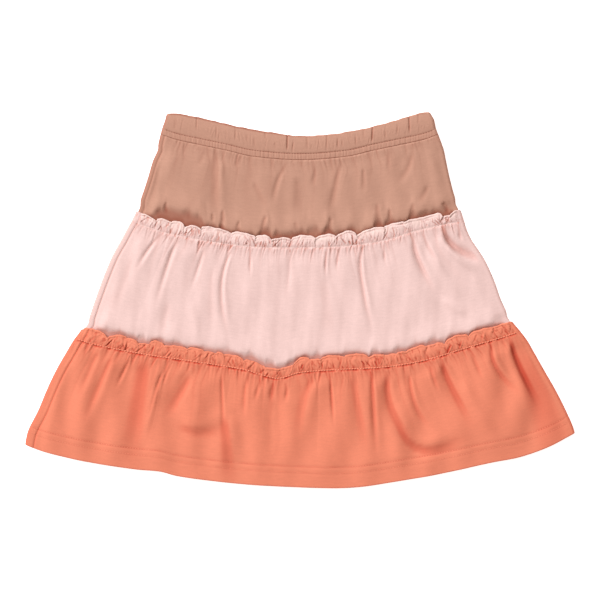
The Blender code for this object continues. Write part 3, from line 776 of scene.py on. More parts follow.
MIDDLE_SEAM = (
    # x, y
    (-0.1520, 0.0712),
    (-0.1242, 0.0612),
    (-0.0882, 0.0536),
    (-0.0630, 0.0500),
    (-0.0387, 0.0474),
    (0.0000, 0.0471),
    (0.0378, 0.0481),
    (0.0756, 0.0534),
    (0.1008, 0.0612),
    (0.1260, 0.0670),
    (0.1480, 0.0712),
)
MIDDLE_HEADING = 8.4 * MM
MIDDLE_RUFFLES = (
    # in mm: start x, share of the way to its peak, lift, reach at the peak and at the start
    (-146.7, 0.45, 1.2, 2.4, 1.6),
    (-128.6, 0.45, 1.4, 3.8, -1.6),
    (-115.2, 0.60, 1.2, 4.7, 2.5),
    (-103.4, 0.60, 1.0, 3.6, 0.0),
    (-88.4, 0.30, 2.0, 5.1, 0.0),
    (-61.4, 0.35, 1.4, 3.8, 1.0),
    (-39.8, 0.45, 1.0, 2.8, 0.0),
    (-25.8, 0.60, 1.0, 0.7, -1.8),
    (-7.8, 0.50, 1.4, 2.7, -1.6),
    (14.0, 0.60, 1.2, 3.4, -0.8),
    (32.2, 0.60, 1.8, 5.2, 0.3),
    (50.6, 0.65, 1.4, 4.8, -0.6),
    (75.4, 0.22, 1.0, 4.9, 2.8),
    (94.0, 0.25, 0.8, 3.1, 2.2),
    (106.0, 0.70, 0.8, 3.2, 2.5),
    (127.4, 0.40, 0.6, -0.6, -1.0),
    (134.4, 0.60, 1.0, 2.4, -0.9),
    (144.9, 0.50, 0.0, 1.0, 1.0),
)

TOP_FOLDS = (
    # in mm: x0, y0, x1, y1, x2, y2, width, height, lean
    (-76.0, 136, -76.5, 104, -76.0, 72, 4.5, -1.1, 0.3),
    (-70.0, 126, -70.0, 100, -69.0, 80, 3.5, 0.5, 0.0),
    (-52.0, 130, -56.0, 124, -59.0, 118, 2.0, -0.6, 0.2),
    (-86.0, 138, -88.0, 128, -92.0, 118, 2.5, -0.5, 0.0),
    (-11.7, 124, -21.6, 102, -23.4, 84, 2.6, -0.8, 0.15),
    (13.5, 118, 12.5, 110, 10.8, 100, 2.2, -0.6, 0.0),
    (36.9, 126, 31.0, 99, 26.1, 74, 3.0, -0.8, -0.1),
    (-41.4, 105, -36.0, 94, -29.7, 81, 3.0, -0.6, 0.1),
    (-3.0, 110, -2.0, 92, -4.0, 74, 4.5, -0.5, 0.0),
    (56.7, 118, 57.0, 106, 56.7, 95, 2.4, -0.7, 0.0),
    (79.7, 134, 79.0, 124, 79.7, 114, 2.0, -0.5, 0.0),
    (99.9, 132, 96.0, 116, 84.6, 104, 2.8, -0.7, 0.15),
    (115.2, 102, 110.7, 94, 106.2, 86, 3.0, -0.7, 0.1),
    (101.4, 86, 100.0, 80, 99.0, 75, 2.4, -0.8, 0.0),
    (-120.2, 87, -120.4, 82, -121.0, 77, 2.0, -0.9, 0.0),
    (-79.2, 77, -78.0, 73, -80.0, 70, 1.6, -0.9, 0.0),
    (-69.3, 80, -69.0, 74, -68.0, 66, 2.0, -1.3, 0.2),
    (-54.5, 70, -55.5, 67, -56.5, 62, 1.6, -0.8, 0.0),
    (-30.5, 75, -33.0, 67, -34.8, 58, 2.2, -1.0, 0.3),
    (-4.5, 70, -3.0, 64, -3.0, 60, 2.5, -0.6, 0.0),
    (27.6, 74, 27.0, 67, 26.8, 60, 2.4, -1.0, 0.0),
    (69.0, 86, 69.6, 76, 70.0, 66, 3.2, -1.0, 0.2),
    (80.4, 81, 80.6, 75, 82.0, 69, 1.9, -1.2, 0.0),
    (128.0, 88, 131.5, 82, 134.0, 78, 3.0, -1.3, 0.2),
    (-128.0, 122, -131.0, 100, -139.0, 78, 4.0, -0.6, 0.0),
    (118.0, 128, 122.0, 112, 126.0, 96, 5.0, 0.6, 0.0),
)
TOP_PUFFS = (
    # in mm: x of a cusp between two puffs, its rise above the ruffle, height above the ruffle of
    # the next puff's lowest place; then the share of the hollow's full depth
    (-139, 1.8, 4.0, 0.3),
    (-129, 13.0, 12.0, 1.0),
    (-119, 17.0, 14.0, 1.0),
    (-99, 17.0, 13.0, 1.0),
    (-88, 15.5, 7.0, 0.9),
    (-84, 8.0, 5.5, 0.7),
    (-79, 10.0, 3.5, 0.9),
    (-70, 15.7, 3.0, 1.0),
    (-55, 8.5, 2.5, 0.7),
    (-43, 5.0, 2.0, 0.5),
    (-31, 15.7, 3.5, 0.9),
    (-21, 7.5, 4.5, 0.9),
    (-6, 6.0, 5.0, 1.0),
    (1, 10.0, 6.0, 0.8),
    (12, 13.0, 6.0, 0.7),
    (27, 14.0, 4.5, 1.0),
    (36, 6.0, 5.0, 0.8),
    (46, 12.0, 6.0, 1.0),
    (52, 8.0, 1.5, 0.7),
    (59, 5.0, 4.0, 0.8),
    (70, 17.0, 6.5, 1.0),
    (81, 13.0, 4.5, 0.9),
    (90, 5.0, 3.0, 0.7),
    (101, 14.5, 6.0, 0.8),
    (112, 8.0, 5.5, 0.8),
    (121, 8.0, 5.5, 0.8),
    (131, 9.0, 5.0, 1.0),
    (140, 4.0, 3.0, 0.8),
)


class Drift:
    """A smooth uneven field over the cloth, mostly from -1 to 1, made of waves at odd angles."""

    def __init__(self, pitch_x, pitch_y, seed):
        draw = random.Random(seed)
        self.waves = []
        for _ in range(7):
            turn = draw.uniform(0.0, 2 * math.pi)
            rate = 2 * math.pi * draw.uniform(0.6, 1.6)
            across = rate * math.cos(turn) / pitch_x
            down = rate * math.sin(turn) / pitch_y
            self.waves.append((across, down, draw.uniform(0.0, 2 * math.pi)))

    def at(self, x, y):
        """The field's value at a place."""
        return sum(np.sin(across * x + down * y + start) for across, down, start in self.waves) / 2.6


class Pleats:
    """Uneven pleats from a seam: ridges that bend and soften as they run down, with narrow
    valleys between them."""

    def __init__(self, length, pitch, height, reach, seed):
        draw = random.Random(seed)
        edges = [-pitch]
        while edges[-1] < length + pitch:
            edges.append(edges[-1] + pitch * draw.uniform(0.4, 2.0))
        count = len(edges) - 1
        self.pitch = pitch
        self.edges = np.array(edges)
        self.heights = np.array([height * (0.2 + 0.8 * draw.random() ** 1.3) for _ in range(count)])
        self.reaches = np.array([reach * draw.uniform(0.3, 2.2) for _ in range(count)])
        self.leans = np.array([draw.uniform(0.55, 1.5) for _ in range(count)])
        self.drift = Drift(7 * pitch, 12 * pitch, seed)

    def at(self, along, distance):
        """Rise of the pleats, and how near a place is to the valley between two of them."""
        bend = np.minimum(distance / (2.5 * self.pitch), 1.0)
        along = along + 0.45 * self.pitch * bend * self.drift.at(along, distance)
        index = np.clip(np.searchsorted(self.edges, along) - 1, 0, len(self.heights) - 1)
        t = (along - self.edges[index]) / (self.edges[index + 1] - self.edges[index])
        softness = np.minimum(distance / self.reaches[index], 1.0)
        ridge = np.sin(math.pi * np.clip(t, 0.0, 1.0) ** self.leans[index]) ** (0.5 + 0.9 * softness)
        size = self.heights[index] * np.exp(-distance / self.reaches[index])
        return size * ridge, size * (1.0 - ridge) ** 2


def fold_relief(folds, shade_rate, x, y):
    """Height that the folds add, and the painted shade of their troughs. Each runs through three
    places, pinched where it starts and wider as it fades, and steeper on the side that it leans to,
    with a shoulder there. A broad fold gets painted shade at the given rate for each mm of its depth,
    and a narrow one by how steep it is."""
    total = np.zeros_like(x)
    crease = np.zeros_like(x)
    shares = np.linspace(0.0, 1.0, 9)
    for x0, y0, x1, y1, x2, y2, width, height, lean in folds:
        start, through, end = (np.array(place) * MM for place in ((x0, y0), (x1, y1), (x2, y2)))
        pull = 2 * through - (start + end) / 2
        line = [mix(mix(start, pull, t), mix(pull, end, t), t) for t in shares]
        nearest = np.full(x.shape, np.inf)
        lengthwise = np.zeros_like(x)
        side = np.ones_like(x)
        for index, (here, there) in enumerate(zip(line, line[1:])):
            step = there - here
            t = ((x - here[0]) * step[0] + (y - here[1]) * step[1]) / (step @ step)
            t = np.clip(t, 0.0, 1.0)
            off_x = x - here[0] - t * step[0]
            off_y = y - here[1] - t * step[1]
            distance = np.hypot(off_x, off_y)
            closer = distance < nearest
            nearest = np.where(closer, distance, nearest)
            lengthwise = np.where(closer, (index + t) / (len(line) - 1), lengthwise)
            side = np.where(closer, np.sign(off_x * -step[1] + off_y * step[0]), side)
        away = side * nearest / (width * MM * (0.6 + 0.6 * lengthwise))
        trough = bell(away * (1.0 + lean * side), 1.0)
        shoulder = 1.1 * abs(lean) * bell(away - 1.9 * np.sign(lean), 1.1)
        opening = 0.10 + 0.03 * width
        taper = smooth((lengthwise + 0.04) / opening) * smooth((1.0 - lengthwise) / 0.4)
        total = total + height * MM * taper * (trough - shoulder)
        # Painted shade along the fold's trough.
        shade = min(max(-shade_rate * height, -0.5 * height / width, 0.0), 0.8)
        band = np.exp(-(away / 0.9) ** 4)
        crease = crease + shade * taper * band * (1.0 - 0.35 * lengthwise)
    return total, np.clip(crease, 0.0, 1.0)


def puff_line(puffs, x):
    """Where the cloth turns under above a ruffle, how deep it sinks there, and how near a cusp is."""
    cusps, rises, sags, depths = np.array(puffs, dtype=float).T
    lines = []
    for aside in (-2.6, -1.3, 0.0, 1.3, 2.6):
        place = x / MM + aside
        index = np.clip(np.searchsorted(cusps, place) - 1, 0, len(cusps) - 2)
        t = np.clip((place - cusps[index]) / (cusps[index + 1] - cusps[index]), 0.0, 1.0)
        bulge = 1.0 - np.abs(2 * t - 1.0) ** 2.2
        lines.append(mix(mix(rises[index], rises[index + 1], t), sags[index], bulge))
    depth = np.interp(x / MM, cusps, depths, left=0.0, right=0.0)
    pinch = sum(bell(x / MM - cusp, 1.3) for cusp in cusps[1:-1])
    return sum(lines) / len(lines) * MM, depth, np.minimum(pinch, 1.0)


@dataclass
class Tier:
    """One tier: a tube of cloth between the seam it hangs from and the line that ends it. Its shades are
    shares of painted shade in the deep colour, its highlights shares of painted highlight in the pale."""
    top: Callable
    bottom: Callable
    top_height: float
    seam_inset: float
    pleated_length: float
    pleats: tuple
    folds: tuple
    seed: int
    swell_height: float
    stroke_depth: float
    # Share of painted shade in the folds for each mm of their depth.
    fold_shade: float = 0.2
    curl: float = 1.0
    # Painted shade on the left and the right side fold.
    side_shades: tuple = (0.6, 0.3)
    # Painted shadow along the ruffle below, and a painted dark line at its edge.
    contact_shade: float = 0.0
    rim_shade: float = 0.0
    seam_groove: float = 0.0
    # Painted shade in the stitch grooves.
    stitch_shade: float = 0.0
    # Painted highlight towards the ruffle's free edge, then along the line of stitches.
    edge_highlight: float = 0.0
    stitch_highlight: float = 0.0
    thread_over: float = 0.0
    puffs: tuple = ()
    puff: float = 0.0
    ruffles: tuple = ()
    heading: float = 0.0
    next_ruffles: tuple = ()
    next_heading: Optional[float] = None

    def __post_init__(self):
        self.sway = Drift(14 * MM, 9 * MM, self.seed)
        self.swell = Drift(30 * MM, 75 * MM, self.seed + 1)
        self.dimple = Drift(13 * MM, 22 * MM, self.seed + 2)
        self.top_ends = ends_of(self.top)
        made = []
        for index, sizes in enumerate(self.pleats):
            pitch, height, reach = (size * MM for size in sizes)
            seed = self.seed - len(self.pleats) + index
            made.append(Pleats(self.pleated_length, pitch, height, reach, seed))
        self.fine, self.medium, self.broad, self.under_fine, self.under_broad = made
        self.strokes = Wrinkles(
            self.top_ends,
            pitch=3.6 * MM,
            lows=(-18 * MM, -3 * MM),
            highs=(0.2 * MM, 1 * MM),
            depths=(0.2 * self.stroke_depth, self.stroke_depth),
            widths=(0.55 * MM, 0.90 * MM),
            slant=0.30,
            fades=(0.8, 0.15),
            seed=self.seed + 3,
        )
        self.crumple = Wrinkles(
            self.top_ends,
            pitch=2.4 * MM,
            lows=(-2 * MM, 4 * MM),
            highs=(3 * MM, 12 * MM),
            depths=(0.2 * MM, 1.2 * MM),
            widths=(0.40 * MM, 0.75 * MM),
            slant=0.9,
            fades=(0.3, 0.3),
            seed=self.seed + 4,
        )

    def tuck(self, x, y):
        """How far the side fold is drawn in, to fit inside the tier below."""
        return TUCK_IN * self.tucked_share(x, y)

    def tucked_share(self, x, y):
        """1 where the back and side folds lie inside the tier below, easing to 0 above it."""
        if self.next_heading is None:
            return 0.0
        above = y - self.bottom(x) - self.next_heading - LONGEST_REACH
        return 1.0 - smooth(above / ROLL)

    def free_edge(self, x):
        """Line of the ruffle's raw edge."""
        return self.top(x) + self.heading + ruffle_swell(self.ruffles, x)[1]

    def shown_end(self, x):
        """Line where the cloth goes under the ruffle below, or ends in its hem."""
        return self.bottom(x) + (self.next_heading or 0.0)

    def hem_start(self, x):
        """Line a little above the hem's upper row of stitches."""
        return self.bottom(x) + HEM_DEPTH

    def tucked_end(self, x):
        """Line where the cloth ends, under the tier below."""
        return self.bottom(x) - ALLOWANCE

    def body(self, x, y, inset):
        """Height of the front between its seams, before its pleats, and its painted shade: in the folds,
        in the hollow above the ruffle below, and as a shadow along that ruffle's edge.
        """
        relief, crease = fold_relief(self.folds, self.fold_shade, x, y)
        swell = self.swell_height * self.swell.at(x, y) + 0.08 * MM * self.dimple.at(x, y)
        height = BODY_TOP + relief + swell
        edge = SIDE_TOP
        if self.next_heading is None:
            above_hem = y - self.bottom(x)
            wave = np.maximum(0.5 * (relief + swell), -1.0 * MM) + 0.3 * MM * np.sin(x / (41 * MM) + 2.0)
            between = above_hem - sum(HEM_STITCH_PLACES) / 2
            wave = wave + 0.18 * MM * bell(between, 2.0 * MM)
            height = mix(HEM_TOP + wave, height, smooth(above_hem / HEM_FALL))
        else:
            above = y - self.bottom(x) - self.next_heading
            line, depth, pinch = puff_line(self.puffs, x + 1.2 * MM * self.dimple.at(x, y))
            over = above - line + 1.0 * MM
            height = height + self.puff * (0.3 + 0.7 * depth) * bell(over - 6 * MM, 9 * MM)
            height = height - 0.12 * MM * depth * pinch * bell(over, 6 * MM)
            hollow = mix(WELL_BOTTOM, INNER_TOP, smooth(-above / (6 * MM)))
            height = mix(hollow, height, smooth(over / PUFF_FALL + 0.5))
            # Painted shade in the hollow, and at the cusps between the puffs.
            crease = crease + PUFF_SHADE * depth * (1.0 - smooth(over / PUFF_FALL + 0.55))
            crease = crease + 0.2 * depth * pinch * bell(over, 5 * MM)
            clear = above - ruffle_swell(self.next_ruffles, x)[1]
            height = np.minimum(height, mix(height, COVERED_TOP, smooth(0.5 - clear / MM)))
            # Painted shadow along the ruffle below, and a painted dark line right at its edge.
            shadow = self.contact_shade * (0.3 + 0.7 * depth) * (1.0 - smooth(clear / CONTACT_REACH))
            uneven = 0.65 + 0.35 * ripple(x, 2.7 * MM, self.seed)
            crease = crease + shadow + self.rim_shade * uneven * (1.0 - smooth(clear / RIM_REACH))
            edge = mix(edge, INNER_TOP, self.tucked_share(x, y))
        below = smooth((self.top(x) - y - ALLOWANCE - GAP) / RISE)
        height = mix(self.top_height, height, below)
        edge = mix(self.top_height, edge, below)
        away = smooth(inset / SIDE_ROLL)
        carried = below * (smooth(inset / (5 * MM)) - away)
        beside = mix(edge, height, away) + carried * np.clip(relief, -2 * MM, 1 * MM)
        return beside, crease * smooth((inset + FOLD_WIDTH) / (4 * MM))

    def front(self, x, y, ring):
        """Place up the skirt and height of the front face, and its tone: 1 for full painted shade in a
        crease, groove or shadow, below 0 for painted highlight on the ruffle's edge and stitch line."""
        inset = past_folds(x, ring)
        fade = smooth(inset / RUFFLE_FADE)
        share = (x - ring.left) / (ring.right - ring.left)
        along = share * self.fine.edges[-1]
        home = mix(*self.top_ends, share)
        below = self.top(x) - y
        down = np.maximum(below, 0.0)
        held = 1.0 - 0.75 * bell(below, 0.9 * MM)
        groove = 0.0 * x
        if self.ruffles:
            pull = smooth(0.70 + 0.9 * ripple(x, 1.6 * MM, self.seed))
            groove = 1.2 * needle_row(x, 0.7 * (below - self.thread_over)) * (0.15 + 0.85 * pull)
        standing = ring.row.standing
        if standing:
            sway = 2.4 * MM * standing * self.sway.at(x, y)
            fine, fine_valley = self.fine.at(along + sway, down)
            medium, medium_valley = self.medium.at(along + 1.5 * sway, down)
            lift, _, tilt = ruffle_swell(self.ruffles, x + 0.4 * sway)
            rise = HEADING_RISE * smooth(standing / 0.8) * (0.8 + 0.2 * ripple(x, 4 * MM, 1.0))
            rise = rise + 0.35 * lift * math.sin(math.pi * standing ** 0.8)
            rise = rise + self.curl * OVERLAP * tilt * smooth((standing - 0.15) / 0.5)
            crinkle = 1.2 * fine * (1.0 - 0.6 * standing) + 0.8 * medium * (0.4 + 0.6 * standing)
            crumpled, shade = self.crumple.at(home, -below)
            crinkle = crinkle - crumpled
            inside = self.free_edge(x) - y
            rolled = self.curl * BEAD * (0.5 + 0.6 * ripple(x, 3.7 * MM, 2.0))
            bead = rolled * bell(inside - BEAD_WIDTH, BEAD_WIDTH)
            bead = bead - 0.5 * rolled * bell(inside - 2.9 * BEAD_WIDTH, 0.8 * BEAD_WIDTH)
            bead = bead - 0.5 * MM * bell(inside, 0.35 * MM)
            layer = bell(inside - 2.3 * MM - 0.5 * MM * ripple(x, 5 * MM, 1.3), 0.45 * MM)
            layer = layer + bell(inside - 4.2 * MM - 0.8 * MM * ripple(x, 7 * MM, 2.9), 0.5 * MM)
            layer = layer * smooth(0.5 + ripple(x, 4 * MM, self.seed))
            bead = bead - 0.25 * MM * layer
            z = OUTER_TOP + fade * (rise + bead + held * crinkle - self.seam_groove * groove)
            ragged = 0.35 * MM * ripple(x, 1.3 * MM, 0.6) - 0.8 * shade
            y = y + fade * standing ** 2 * ragged
            # Painted shade in the heading's pleat valleys and crumples, and in the thin lines along its
            # rim.
            crease = (1.2 * fine_valley + 0.9 * medium_valley) * (1.0 - 0.6 * standing) + 1.05 * shade
            crease = crease + 0.22 * MM * layer
            # Painted highlight towards the ruffle's free edge.
            painted_highlight = self.edge_highlight * smooth((standing - 0.1) / 0.6)
        else:
            fine, fine_valley = self.fine.at(along, down)
            medium, medium_valley = self.medium.at(along, down)
            broad, _ = self.broad.at(along, down)
            z, body_crease = self.body(x, y, inset)
            stroked, shade = self.strokes.at(home, -below)
            z = z + fade * (held * (fine + medium + broad - stroked) - self.seam_groove * groove)
            # Painted shade in the pleat valleys, in the strokes below the seam and in the folds.
            crease = 1.2 * fine_valley + 0.7 * medium_valley
            crease = crease + 0.9 * shade + body_crease * 0.9 * MM
            painted_highlight = 0.0
            if self.next_heading is None:
                above_hem = y - self.bottom(x)
                for place, pulled in zip(HEM_STITCH_PLACES, HEM_STITCH_PULLS):
                    row_of_holes = pulled * needle_row(x + place, above_hem - place)
                    z = z - 0.6 * STITCH_GROOVE * row_of_holes
                    # Painted shade in the hem's stitch grooves.
                    groove = groove + 0.45 * row_of_holes
        # Painted highlight along the line of stitches.
        painted_highlight = painted_highlight + self.stitch_highlight * bell(below, 0.6 * MM)
        # Painted shade in the stitch groove and along the side seam.
        seam = bell(x - ring.left - self.seam_inset, SEAM_WIDTH)
        crease = crease * fade / (0.9 * MM) + self.stitch_shade * groove + 0.4 * seam
        crease = np.clip(crease, 0.0, 1.0)
        return y, z - SEAM_DIP * seam, crease - painted_highlight * (1.0 - crease) * fade

    def under(self, x, y, ring):
        """The same for the underside: flat, lifted off the tier below, and shallowly pleated, with
        painted shade in the pleat valleys, the stitch groove and the side seam.
        """
        fade = smooth(past_folds(x, ring) / RUFFLE_FADE)
        along = (x - ring.left) / (ring.right - ring.left) * self.fine.edges[-1]
        below = self.top(x) - y
        _, fine_valley = self.under_fine.at(along, np.abs(below))
        _, broad_valley = self.under_broad.at(along, np.abs(below))
        groove = needle_row(x, below - self.thread_over) if self.ruffles else 0.0 * x
        seam = bell(ring.right - self.seam_inset - x, SEAM_WIDTH)
        valley = fade * (fine_valley + broad_valley)
        z = BACK_LIFT * self.tucked_share(x, y) + valley + 0.3 * MM * fade * groove + 0.4 * MM * seam
        return y, z, np.clip(valley / (0.7 * MM) + 0.6 * groove + 0.4 * seam, 0.0, 1.0)

    def rows(self, down):
        """All the rows of the tier, from its free or upper edge down."""
        rows = []
        if self.ruffles:
            for share in STANDING_SHARES:
                rows.append(Row(self.top, self.free_edge, share, standing=share))
        if self.next_heading is not None:
            for t in np.linspace(0.0, 1.0, down):
                share = mix(t ** 1.9, 1.0 - (1.0 - t) ** 1.6, smooth(t))
                rows.append(Row(self.top, self.shown_end, share))
            for share in (0.3, 0.65, 1.0):
                rows.append(Row(self.shown_end, self.tucked_end, share))
            return rows
        for t in np.linspace(0.0, 1.0, down):
            rows.append(Row(self.top, self.hem_start, mix(t ** 1.9, t, 0.4 * t)))
        for place in HEM_ROWS:
            rows.append(Row(self.hem_start, self.shown_end, 1.0 - place / HEM_DEPTH))
        for angle in np.linspace(0.0, math.pi, 8):
            shift = HEM_BEND * (1.0 - math.sin(angle))
            sink = HEM_BEND * (1.0 - math.cos(angle))
            rows.append(Row(self.top, self.shown_end, 1.0, shift, sink))
        for turn in (0.35 * HEM_TURN, 0.7 * HEM_TURN, HEM_TURN):
            rows.append(Row(self.top, self.shown_end, 1.0, HEM_BEND + turn, 2 * HEM_BEND))
        return rows

    def front_stretches(self, columns):
        """The front panel: across the front and round the right fold to its seam."""
        return (
            ("front", (0.0, self.seam_inset), (1.0, -FOLD_WIDTH), columns),
            ("right", (1.0, 0.0), (1.0, 0.0), FOLD_STEPS),
            ("under", (1.0, -FOLD_WIDTH), (1.0, -self.seam_inset), 4),
            ("under", (1.0, -self.seam_inset), (1.0, -self.seam_inset), 1),
        )

    def back_stretches(self, columns):
        """The back panel: across the underside and round the left fold to its seam."""
        return (
            ("under", (1.0, -self.seam_inset), (0.0, FOLD_WIDTH), columns),
            ("left", (0.0, 0.0), (0.0, 0.0), FOLD_STEPS),
            ("front", (0.0, FOLD_WIDTH), (0.0, self.seam_inset), 6),
            ("front", (0.0, self.seam_inset), (0.0, self.seam_inset), 1),
        )


def ruffle_swell(ruffles, x):
    """Lift, reach and tilt of the ruffle at x; neighbours meet in a notch, one over the other."""
    if not ruffles:
        return np.zeros_like(x), np.zeros_like(x), np.zeros_like(x)
    starts, peaks, lifts, reaches, floors = np.array(ruffles, dtype=float).T
    index = np.clip(np.searchsorted(starts * MM, x) - 1, 0, len(starts) - 2)
    t = (x - starts[index] * MM) / ((starts[index + 1] - starts[index]) * MM)
    t = np.clip(t, 0.0, 1.0)
    warp = math.log(0.5) / np.log(peaks[index])
    swell = np.clip(np.sin(math.pi * t ** warp), 0.0, 1.0) ** 0.4
    reach = mix(mix(floors[index], floors[index + 1], t), reaches[index], swell)
    tilt = (t - 0.5) * np.where(index % 3 == 1, -1.0, 1.0)
    return lifts[index] * MM * swell, reach * MM, tilt


middle_seam = curve(MIDDLE_SEAM)
TOP_PLEATS = (
    # pitch, height and reach in mm: fine, medium and broad in front, fine and broad underneath
    (4.2, 0.40, 6),
    (11, 0.45, 14),
    (26, 0.50, 40),
    (4.5, 0.30, 6),
    (15, 0.30, 20),
)
JOIN = 0.05 * MM
STANDING_SHARES = (1.0, 0.97, 0.94, 0.91, 0.88, 0.84, 0.80, 0.75, 0.70, 0.64, 0.57, 0.50, 0.43, 0.36,
                   0.29, 0.22, 0.16, 0.10, 0.05)
HEM_ROWS = tuple(MM * place for place in (19.9, 18.9, 17.9, 16.1, 14.3, 13.3, 12.3, 9.5, 7, 4.5, 2.2))


def below_casing(x):
    """Top edge of the top tier, clear of the casing."""
    return casing_seam(x) - JOIN


top_tier = Tier(
    top=below_casing,
    bottom=middle_seam,
    top_height=CASING_TOP - 0.2 * MM,
    seam_inset=4.0 * MM,
    pleated_length=0.25,
    pleats=TOP_PLEATS,
    folds=TOP_FOLDS,
    seed=26,
    swell_height=0.5 * MM,
    stroke_depth=0.30 * MM,
    fold_shade=0.3,
    side_shades=(1.0, 0.3),
    contact_shade=0.36,
    rim_shade=0.35,
    puffs=TOP_PUFFS,
    puff=1.3 * MM,
    next_ruffles=MIDDLE_RUFFLES,
    next_heading=MIDDLE_HEADING,
)


def panel(name, tier, rows, stretches, cut_width):
    """One panel of a tier."""
    return cloth_sheet(name, [Ring(tier, row).lay(stretches) for row in rows], cut_width, CLOTH)


top_rows = top_tier.rows(60)
top_front = panel("top_tier_front_panel", top_tier, top_rows, top_tier.front_stretches(400), 0.30)
dress(top_front, "top_tier_front", tan_jersey)
top_back = panel("top_tier_back_panel", top_tier, top_rows[::2] + top_rows[-1:],
                 top_tier.back_stretches(200), 0.30)
dress(top_back, "top_tier_back", tan_jersey)

# -------------------------------------------------------------------------------------------------
# Middle tier. Pale pink jersey gathered on a line of stitches a little below its own raw top edge,
# and sewn over the end of the tan tier, so that the edge stands up as a narrow curling ruffle.
# -------------------------------------------------------------------------------------------------
# The jersey's own colour, then the painted shade colour mixed in where it lies in creases, grooves and
# shadows, then the painted highlight colour, which is also its sheen tint.
PINK = (0.765, 0.525, 0.480)
PINK_SHADE = (0.520, 0.200, 0.150)
PINK_HIGHLIGHT = (0.900, 0.670, 0.580)
BOTTOM_SEAM = (
    # x, y
    (-0.2030, -0.0340),
    (-0.1827, -0.0401),
    (-0.1368, -0.0490),
    (-0.0873, -0.0562),
    (-0.0495, -0.0625),
    (-0.0306, -0.0681),
    (-0.0189, -0.0702),
    (0.0000, -0.0650),
    (0.0315, -0.0625),
    (0.0765, -0.0599),
    (0.1116, -0.0540),
    (0.1485, -0.0430),
    (0.1832, -0.0328),
    (0.1990, -0.0275),
)
BOTTOM_HEADING = 9.4 * MM
BOTTOM_RUFFLES = (
    # in mm: start x, share of the way to its peak, lift, reach at the peak and at the start
    (-194.4, 0.45, 1.0, 4.2, 0.6),
    (-172.8, 0.75, 1.2, 4.4, -0.8),
    (-155.0, 0.40, 1.0, 2.6, 1.8),
    (-144.8, 0.45, 0.6, 0.4, -1.4),
    (-134.6, 0.45, 1.4, 4.6, -0.2),
    (-121.6, 0.65, 0.8, 2.6, 1.2),
    (-100.8, 0.50, 1.0, 3.2, 1.0),
    (-85.8, 0.45, 0.6, 1.6, 1.0),
    (-75.4, 0.45, 0.7, 2.4, 0.8),
    (-68.0, 0.45, 0.8, 2.1, 0.7),
    (-50.2, 0.35, 0.8, 0.6, -2.0),
    (-31.0, 0.60, 0.6, -0.4, -2.2),
    (-14.4, 0.50, 0.4, -0.6, -1.0),
    (-6.0, 0.62, 1.6, 4.3, -1.0),
    (8.8, 0.45, 0.8, 1.5, 0.5),
    (19.0, 0.40, 1.2, 3.8, 0.4),
    (39.8, 0.50, 1.2, 4.2, 1.6),
    (61.4, 0.55, 0.8, 2.4, -0.2),
    (76.0, 0.40, 0.6, 1.6, 1.2),
    (86.6, 0.40, 0.8, 2.6, 1.0),
    (94.6, 0.72, 1.6, 5.0, 2.0),
    (112.4, 0.40, 1.0, 3.4, 2.4),
    (129.6, 0.42, 1.4, 4.6, -1.4),
    (151.4, 0.40, 1.2, 3.7, -0.6),
    (172.0, 0.40, 0.8, 2.7, 2.0),
    (190.8, 0.50, 0.0, 1.2, 1.2),
)
MIDDLE_FOLDS = (
    # in mm: x0, y0, x1, y1, x2, y2, width, height, lean
    (-124.1, 60, -134.6, 47, -149.2, 24, 1.8, -1.1, 0.2),
    (-106.9, 58, -117.0, 36, -131.5, -12, 2.2, -1.2, 0.1),
    (-85.8, 52, -89.2, 35, -100.5, 4, 1.9, -0.9, 0.1),
    (-60.7, 46, -70.5, 8, -62.0, -38, 2.0, -1.2, 0.3),
    (-78.0, 30, -80.0, 0, -77.0, -30, 3.6, -0.5, 0.4),
    (-44.9, 46, -44.9, 36, -44.0, 20, 1.2, -1.1, 0.1),
    (-9.5, 40, -10.0, 22, -13.0, 0, 2.2, -0.5, 0.2),
    (23.2, 44, 23.0, 36, 23.0, 20, 1.2, -1.1, 0.1),
    (33.8, 46, 33.6, 38, 32.8, 26, 1.2, -1.1, 0.1),
    (54.1, 48, 56.0, 14, 66.0, -32, 2.0, -1.4, 0.3),
    (74.7, 50, 75.5, 42, 76.0, 32, 1.2, -0.9, 0.1),
    (100.9, 60, 106.2, 36, 124.0, 2, 2.6, -1.9, 0.3),
    (110.0, 60, 116.0, 46, 124.0, 34, 1.6, -0.9, 0.1),
    (116.0, 52, 128.0, 24, 146.0, -2, 5.0, 1.0, 0.2),
    (128.0, 72, 139.5, 47, 178.0, 35, 3.6, -3.4, -0.2),
    (130.0, 50, 144.0, 35, 160.0, 26, 3.4, 1.2, 0.0),
    (141.0, 68, 143.0, 60, 144.0, 52, 1.6, -1.4, 0.1),
    (126.0, 0, 140.0, -8, 152.0, -14, 4.0, 0.8, -0.3),
    (-150.0, 40, -160.0, 10, -172.0, -14, 5.0, -0.5, 0.2),
    (-118.0, -2, -122.0, -20, -126.0, -34, 5.0, -0.6, 0.3),
    (-98.0, 0, -94.0, -20, -92.0, -40, 5.0, 0.5, 0.0),
    (-34.0, 30, -28.0, 0, -22.0, -36, 6.0, 0.5, 0.0),
    (20.0, 20, 24.0, -10, 26.0, -40, 6.0, -0.5, 0.2),
)
